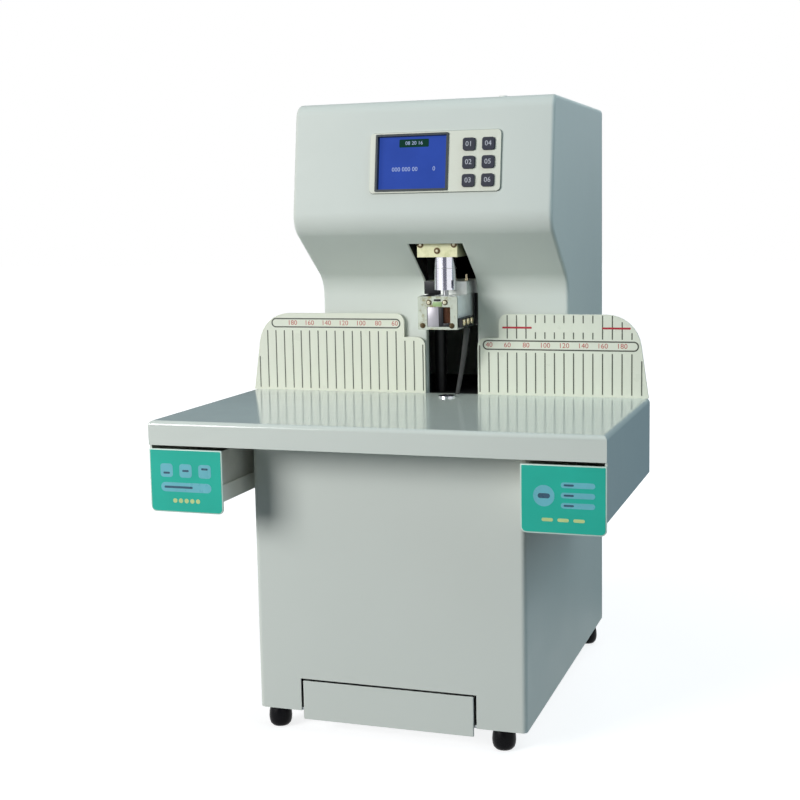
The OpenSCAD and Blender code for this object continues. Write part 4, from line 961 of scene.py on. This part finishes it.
HEAD_D = 3
HEAD_H = 1.3
WASHER_D = 6.6
WASHER_T = 0.7
BRACKET_SCREWS = ((-17.8, 12.8), (0, 6.5), (17.8, 12.8))
REAR_SCREW_IN = 7.5
REAR_SCREW_END = 30
REAR_SCREW_ROWS = 4
PLATE_HEAD_D = 3.8
PLATE_WASHER_D = 5.6
LOWER_HEAD_IN = 3.9
LOWER_HEAD_UP = 4.1
UPPER_HEAD_OUT = 8.6
UPPER_HEAD_UP = 27.9
PLATE_LEFT_OUT = 1.2
WINDOW_WIDE = 25
WINDOW_TALL = 20.4
WINDOW_LEFT = 2.2  # of the drill's axis
WINDOW_UP = 13
HEATER_LAP = 0.4
GAP_LEFT = 2.4
GAP_RIGHT = 2.2
SILL_H = 3.6
# Width, height, corner radius and its steps
TAB_OUTLINE = (10, 4.6, 0.6, 3)
SLOT_OUTLINE = (7.4, 2.2, 0.4, 3)
TAB_UP = 9.2
TAB_PROUD = 0.5
SLOT_UP = 13.2
SLOT_PROUD = 0.15
CARRIAGE_W = 46
SHADE_PAD_T = 0.8
SHADE_PAD_FOOT_T = 0.4
SHADE_PAD_LAP = 1
LIT_SIDE_PLATE_D = 57
LIT_SIDE_PLATE_T = 0.5
LIT_SIDE_PLATE_UP = 0.4
CROSS_Y = 43.8
SHADE_SHIELD_T = 0.5
SHADE_SHIELD_W = 26
LAP = 0.2  # thin sheets reach this far into what carries them, and keep this far from its ends
GROOVE_DOWN = 12
GROOVE_H = 0.5
GROOVE_PROUD = 0.04
TERMINALS = 3
TERMINAL_IN = 6
TERMINAL_PITCH = 14
TERMINAL_DROP = 4.3
TERMINAL_HEAD_D = 7.2
TERMINAL_HEAD_H = 1.8
STRAP_STEPS = 20
STRAP_IN = (3.1, 1.4)
STRAP_FOOT_W = 4.8
STRAP_GAIN = 1.4
STRAP_T = 1.6
STRAP_BOW = 0.9
STRAP_TURN = 18
STRAP_SECTION = ((-1, -0.5), (-0.8, -1), (0.8, -1), (1, -0.5), (1, 0.5), (0.8, 1), (-0.8, 1), (-1, 0.5))
FILTER_W = 104
FILTER_H = 122
FILTER_T = 4


def add_pan_head(bm, place, diameter, height):
    """Pan head with a six-sided socket."""
    r = diameter / 2
    add_turned(bm, [
        (0, 0), (r, 0), (r, 0.45 * height), (0.9 * r, 0.8 * height), (0.7 * r, height),
        (0.46 * r, height), (0.44 * r, 0.45 * height), (0, 0.4 * height),
    ], place, 24)


def add_washer(bm, place, diameter):
    r = diameter / 2
    add_turned(bm, [(0, 0), (r, 0), (r, 0.7 * WASHER_T), (0.92 * r, WASHER_T), (0, WASHER_T)], place, 28)


def add_screw(heads, washers, place, head_d, washer_d):
    """A pan head on its washer, each in its own bmesh."""
    add_washer(washers, place, washer_d)
    add_pan_head(heads, place @ Matrix.Translation((0, 0, WASHER_T)), head_d, HEAD_H)


def fixing_screw_heads():
    heads, washers = bmesh.new(), bmesh.new()
    places = [facing_front(ZERO_X + x, bracket_lo.y, bracket_lo.z + up) for x, up in BRACKET_SCREWS]
    screw_x = rear_hi.x - REAR_SCREW_IN
    foot, top = rear_lo.z + REAR_SCREW_END, cover_hi.z - REAR_SCREW_END
    places += [
        facing_rear(side * screw_x, rear_hi.y, foot + (top - foot) * k / (REAR_SCREW_ROWS - 1))
        for side in (-1, 1) for k in range(REAR_SCREW_ROWS)
    ]
    for place in places:
        add_screw(heads, washers, place, HEAD_D, WASHER_D)
    piece("fixing_screw_heads", heads, HEADS, "machine", ("fixing_screws",))
    piece("fixing_screw_washers", washers, WASHER, "machine")


def presser_screw_heads():
    upper, lower, washers = bmesh.new(), bmesh.new(), bmesh.new()
    middle = (plate_lo.x + plate_hi.x) / 2
    lower_out = (plate_hi.x - plate_lo.x) / 2 - LOWER_HEAD_IN
    for side in (-1, 1):
        for heads, out, up in ((lower, lower_out, LOWER_HEAD_UP), (upper, UPPER_HEAD_OUT, UPPER_HEAD_UP)):
            place = facing_front(middle + side * out, plate_lo.y, plate_lo.z + up)
            add_screw(heads, washers, place, PLATE_HEAD_D, PLATE_WASHER_D)
    piece("presser_upper_heads", upper, HEADS, "presser", ("presser_screws",))
    piece("presser_lower_heads", lower, WASHER, "presser")
    piece("presser_screw_washers", washers, WASHER, "presser")


def presser_plate():
    """Plated front of the presser, with a window on the heater."""
    low_x, high_x = plate_lo.x - PLATE_LEFT_OUT, block_hi.x
    middle_x, middle_z = (low_x + high_x) / 2, (plate_lo.z + plate_hi.z) / 2
    thick = plate_hi.y - plate_lo.y
    place = facing_front(middle_x, plate_hi.y, middle_z)
    window_x, window_z = DRILL_X - WINDOW_LEFT, plate_lo.z + WINDOW_UP
    outer = rounded(high_x - low_x, plate_hi.z - plate_lo.z, 0.8, 4)
    window = shifted(rounded(WINDOW_WIDE, WINDOW_TALL, 1, 4), window_x - middle_x, window_z - middle_z)
    bm = shape((add_ring, outer, window, thick, place))
    piece("presser_plate", bm, PLATE, "presser", ("presser_front_plate",))

    left, foot = window_x - WINDOW_WIDE / 2, window_z - WINDOW_TALL / 2
    right, top = left + WINDOW_WIDE, foot + WINDOW_TALL
    gap_left, gap_right = DRILL_X - GAP_LEFT, DRILL_X + GAP_RIGHT
    # The black gap and sill are painted shade: black boxes where the heater's window lies in shadow
    for name, material, slot, sunk, x0, x1, z1, edge in (
        ("heater_body", ALUMINIUM, "bare_steel", 0.8, left, gap_left, top, 0.3),
        ("heater_gap_shade", BLACK, "black_plastic", 1.4, gap_left, gap_right, top, 0.2),
        ("heater_sill_shade", BLACK, "black_plastic", 1.2, gap_right, right, foot + SILL_H, 0.3),
    ):
        low, high = (x0, plate_lo.y + sunk, foot), (x1, plate_hi.y + HEATER_LAP, z1)
        piece(name, shape((add_box, low, high, edge)), material, "presser")

    tab = shape((add_slab, shifted(rounded(*TAB_OUTLINE), 0, TAB_UP), thick + TAB_PROUD, place, 0.3))
    piece("sensor_tab", tab, TAB, "presser")
    # The slot is a raised black slab: painted shade in the sensor's slot
    slot = shape((add_slab, shifted(rounded(*SLOT_OUTLINE), 0, SLOT_UP), thick + SLOT_PROUD, place))
    piece("sensor_slot_shade", slot, BLACK, "presser")


def carriage_pad():
    """Dark sheet on the front of the carriage, left of the sleeve, with a foot on the block: painted shade
    where the overhang shadows the carriage.
    """
    left, foot, top = block_hi.x - CARRIAGE_W, block_hi.z + SHADE_PAD_FOOT_T, carriage_hi.z
    right = sleeve_lo.x + SHADE_PAD_LAP
    width = right - left
    place = facing_front(left + width / 2, carriage_lo.y, (foot + top) / 2)
    bm = shape(
        (add_slab, rounded(width, top - foot, 0.6, 3), SHADE_PAD_T, place, 0.3),
        (add_box, (block_lo.x + 0.1, plate_hi.y + 0.3, block_hi.z - 0.1), (right, carriage_lo.y, foot), 0.1),
    )
    piece("carriage_pad", bm, BLACK, "presser")


def presser_side_plate():
    """Pale plate over the right sides of the presser's block and carriage, above the terminals: painted
    light, paler than the carriage's front so the sides look lit from the right.
    """
    near, far, top = block_hi.x - LAP, block_hi.x + LIT_SIDE_PLATE_T, block_hi.z + LAP
    rear = plate_hi.y + LIT_SIDE_PLATE_D
    bm = shape(
        (add_box, (near, plate_hi.y + 0.6, terminal_hi.z + LIT_SIDE_PLATE_UP), (far, rear, top), LAP),
        (add_box, (near, carriage_lo.y + LAP, top + LAP), (far, CROSS_Y - 0.8, carriage_hi.z - LAP), LAP),
    )
    piece("presser_side_plate", bm, PRESSER_PAINT_AND_LIGHT, "presser")


def cross_shield():
    """Black sheet on the front of the carriage's cross bar, right of the presser: painted shade on the shaded
    carriage face.
    """
    low = (block_hi.x + LAP, CROSS_Y - SHADE_SHIELD_T, block_lo.z + LAP)
    high = (block_hi.x + SHADE_SHIELD_W, CROSS_Y + LAP, block_hi.z)
    piece("cross_shield", shape((add_box, low, high, LAP)), BLACKENED_AND_SHADE, "presser")


def sleeve_groove():
    """Fine turned ring round the quill sleeve."""
    r = (sleeve_hi.x - sleeve_lo.x) / 2
    inner, outer = r - 0.5, r + GROOVE_PROUD
    profile = [(inner, 0), (outer, 0), (outer, GROOVE_H), (inner, GROOVE_H), (inner, 0)]
    place = Matrix.Translation((DRILL_X, DRILL_Y, bracket_lo.z - GROOVE_DOWN))
    piece("sleeve_groove", shape((add_turned, profile, place, 64)), STEEL, "machine")


def terminal_screws():
    bm = bmesh.new()
    for k in range(TERMINALS):
        y = terminal_lo.y + TERMINAL_IN + TERMINAL_PITCH * k
        place = facing_right(terminal_hi.x, y, terminal_hi.z - TERMINAL_DROP)
        add_pan_head(bm, place, TERMINAL_HEAD_D, TERMINAL_HEAD_H)
    piece("terminal_screws", bm, BRASS, "presser")


def heater_strap():
    """Flat lead from the terminal block down to the table, slightly bowed and twisted."""
    bm = bmesh.new()
    top = Vector((lead_hi.x - STRAP_IN[0], lead_lo.y + STRAP_IN[1], lead_hi.z))
    foot = Vector((lead_lo.x + STRAP_IN[0], lead_hi.y - STRAP_IN[1], lead_lo.z))
    rings = []
    for k in range(STRAP_STEPS + 1):
        share = k / STRAP_STEPS
        at = foot.lerp(top, share)
        at.x += STRAP_BOW * math.sin(math.pi * share)
        width = STRAP_FOOT_W + STRAP_GAIN * share
        turn = math.radians(-STRAP_TURN + STRAP_TURN * share)
        across = Vector((math.cos(turn), math.sin(turn), 0)) * width / 2
        through = Vector((-math.sin(turn), math.cos(turn), 0)) * STRAP_T / 2
        rings.append([bm.verts.new(at + a * across + b * through) for a, b in STRAP_SECTION])
    join_rings(bm, rings)
    made = piece("heater_strap", bm, STRAP, "machine", ("heater_lead",), sharp=60)
    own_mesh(made)


def vent_filter():
    """Dark foam behind the rear slots, with a pressed edge."""
    place = facing_rear(0, rear_lo.y - FILTER_T, (TABLE_Z + cover_hi.z) / 2)
    bm = shape((add_slab, rounded(FILTER_W, FILTER_H, 6), FILTER_T - LAP, place, 1.2))
    piece("vent_filter", bm, FOAM, "machine")


vent_filter()
fixing_screw_heads()
presser_plate()
presser_screw_heads()
carriage_pad()
presser_side_plate()
cross_shield()
sleeve_groove()
terminal_screws()
heater_strap()

# ---------------- finishes of the CAD nodes that stay


def dress(material, *names, edge=0.0):
    """Gives CAD nodes a finish, and rounds their sharp edges by edge millimetres."""
    for name in names:
        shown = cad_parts[name]
        shown.data.materials.clear()
        shown.data.materials.append(material)
        if edge:
            joined = shown.modifiers.new("joined", "WELD")
            joined.merge_threshold = 1e-6
            rim = shown.modifiers.new("rim", "BEVEL")
            rim.width = edge * MM
            rim.segments = 2
            rim.limit_method = "ANGLE"
            rim.angle_limit = math.radians(40)
            rim.harden_normals = True


dress(CASING, "base_front_panel", "rear_cover")
dress(CASING, "scrap_tray_front", edge=1.0)
dress(TABLE, "worktable", "die_plate")
dress(ENAMEL, "left_stop_plate", "right_stop_plate", edge=0.35)
dress(BEZEL, "control_bezel", edge=0.7)
dress(SCREEN_EDGE, "lcd_frame", edge=0.25)
dress(SCREEN, "lcd_screen")
dress(KEY, *("key_%d" % number for number in range(1, 7)), edge=0.6)
dress(CHANNEL_PAINT_AND_LIGHT, "left_drawer_channel", "right_drawer_channel")
dress(TUB_ZINC_AND_LIGHT, "left_drawer_tub", "right_drawer_tub", "scrap_tray_tub")
dress(GALVANISED, "base_plate", "chip_chute", "power_supply")
dress(ZINC, "quill_bracket", edge=0.4)
dress(CHROME, "quill_sleeve", "die_ring")
dress(BLACKENED_AND_SHADE, "guide_rods", "press_screw", "feed_screw")
dress(STEEL, "drill_spindle", "drill_bit")
dress(PRESSER_PAINT_AND_LIGHT, "presser_block", edge=0.6)
dress(CARRIAGE, "presser_carriage", edge=0.6)
dress(CARRIAGE, "feed_carriage")
dress(FRAME_PAINT_AND_SHADE, "frame_plates", "frame_posts", "frame_top_plate", "bed_plate", "screw_motors", "drill_motor")
dress(COPPER, "heater_collar", "lower_rivet_heater")
dress(BRASS, "brass_fitting")
dress(BLACK, "terminal_block", "power_rocker", "power_inlet", edge=0.3)
dress(BOARD, "control_board", "main_board")
dress(NYLON, "tube_inlet_bush")

# ---------------- floor, world and lamps

KEY_POWER = 92
TOP_POWER = 14
RIGHT_POWER = 13
REAR_POWER = 22
AMBIENT = (0.125, 0.14, 0.145, 1)
WHITE = (1, 1, 1, 1)
FLOOR_BOUNCE = (0.16, 0.18, 0.20, 1)
FLOOR_PAPER = (0.4, 0.4, 0.4, 1)
FLOOR_SIDE = 24
FLOOR_GLOW = (0.3, 1.6, 0.78)  # metres out where it grows, and its least
DARK_CARD = (0.10, 0.16, 0.21, 1)


def seen_directly(tree):
    """1 for camera, glossy and transmission rays."""
    path = node(tree, "LightPath").outputs
    seen = path["Is Camera Ray"]
    for ray in ("Is Glossy Ray", "Is Transmission Ray"):
        seen = node(tree, "Math", {0: seen, 1: path[ray]}, operation="MAXIMUM").outputs[0]
    return seen


def bare_material(name):
    """A material with no nodes yet, and its tree."""
    material = bpy.data.materials.new(name)
    material.use_nodes = True
    material.node_tree.nodes.clear()
    return material, material.node_tree


def flat_sheet(name, material, width, height, cells):
    """A flat sheet about its own middle."""
    bm = bmesh.new()
    bmesh.ops.create_grid(bm, x_segments=cells, y_segments=cells, size=0.5)
    bmesh.ops.scale(bm, vec=(width, height, 1), verts=bm.verts)
    mesh = bpy.data.meshes.new(name)
    bm.to_mesh(mesh)
    bm.free()
    mesh.materials.append(material)
    return link(name, mesh)


def studio():
    world = bpy.data.worlds.new("studio")
    bpy.context.scene.world = world
    world.use_nodes = True
    tree = world.node_tree
    tree.nodes.clear()
    ambient = node(tree, "Background", {"Color": AMBIENT, "Strength": 1.0})
    white = node(tree, "Background", {"Color": WHITE, "Strength": 1.0})
    mixed = node(tree, "MixShader", {0: seen_directly(tree), 1: ambient.outputs[0], 2: white.outputs[0]})
    out = node(tree, "OutputWorld", {"Surface": mixed.outputs[0]})
    out.is_active_output = True

    material, tree = bare_material("studio_floor")
    bounce = node(tree, "BsdfDiffuse", {"Color": FLOOR_BOUNCE})
    paper = node(tree, "BsdfDiffuse", {"Color": FLOOR_PAPER})
    away = node(tree, "VectorMath", {0: node(tree, "TexCoord").outputs["Object"]}, operation="LENGTH")
    level = ramp(tree, away.outputs["Value"], *FLOOR_GLOW)
    glow = node(tree, "Emission", {"Color": WHITE, "Strength": level})
    lit = node(tree, "AddShader", {0: paper.outputs[0], 1: glow.outputs[0]})
    mixed = node(tree, "MixShader", {0: seen_directly(tree), 1: bounce.outputs[0], 2: lit.outputs[0]})
    node(tree, "OutputMaterial", {"Surface": mixed.outputs[0]})
    floor = flat_sheet("studio_floor", material, FLOOR_SIDE, FLOOR_SIDE, 8)


def reflector(name, at, aim, width, height, colour):
    """A toned card that only shows in reflections."""
    material, tree = bare_material(name)
    tone = node(tree, "Emission", {"Color": colour, "Strength": 1.0})
    node(tree, "OutputMaterial", {"Surface": tone.outputs[0]})
    card = flat_sheet(name, material, width, height, 1)
    card.location = at
    card.rotation_euler = (Vector(at) - Vector(aim)).to_track_quat("Z", "Y").to_euler()
    card.visible_camera = False
    card.visible_diffuse = False
    card.visible_transmission = False
    card.visible_shadow = False


def lamp(name, at, aim, power, size, colour=(1, 1, 1)):
    data = bpy.data.lights.new(name, "AREA")
    data.energy = power
    data.size = size
    data.color = colour
    shown = link(name, data)
    shown.location = at
    shown.rotation_euler = (Vector(aim) - Vector(at)).to_track_quat("-Z", "Y").to_euler()


studio()
reflector("rear_reflector", (0.6, 1.4, 1.2), (0, 0, 1.2), 7, 2.4, DARK_CARD)
reflector("floor_reflector", (1.2, 0.95, 0.003), (1.2, 0.95, -1), 5.4, 1.3, DARK_CARD)
reflector("left_reflector", (-2.2, 0.5, 0.8), (0, 0.2, 0.6), 1.8, 2.4, (0.30, 0.30, 0.33, 1))
reflector("camera_reflector", (0.45, -2.4, 0.55), (0, 0, 0.45), 1.7, 3.0, (0.17, 0.17, 0.21, 1))
lamp("key_lamp", (-2.0, -2.52, 1.32), (0, 0, 0.35), KEY_POWER, 1.4, (0.985, 0.99, 1.0))
lamp("top_lamp", (1.2, -0.35, 2.4), (0, -0.1, 0.4), TOP_POWER, 1.6, (0.74, 0.90, 1.0))
lamp("right_lamp", (2.1, -0.4, 1.6), (0, 0, 0.35), RIGHT_POWER, 1.4, (0.56, 0.83, 1.0))
lamp("rear_lamp", (0.2, 2.7, 1.3), (0, 0.2, 0.35), REAR_POWER, 1.4, (0.92, 0.97, 1.0))

bpy.context.scene.view_settings.view_transform = "Standard"
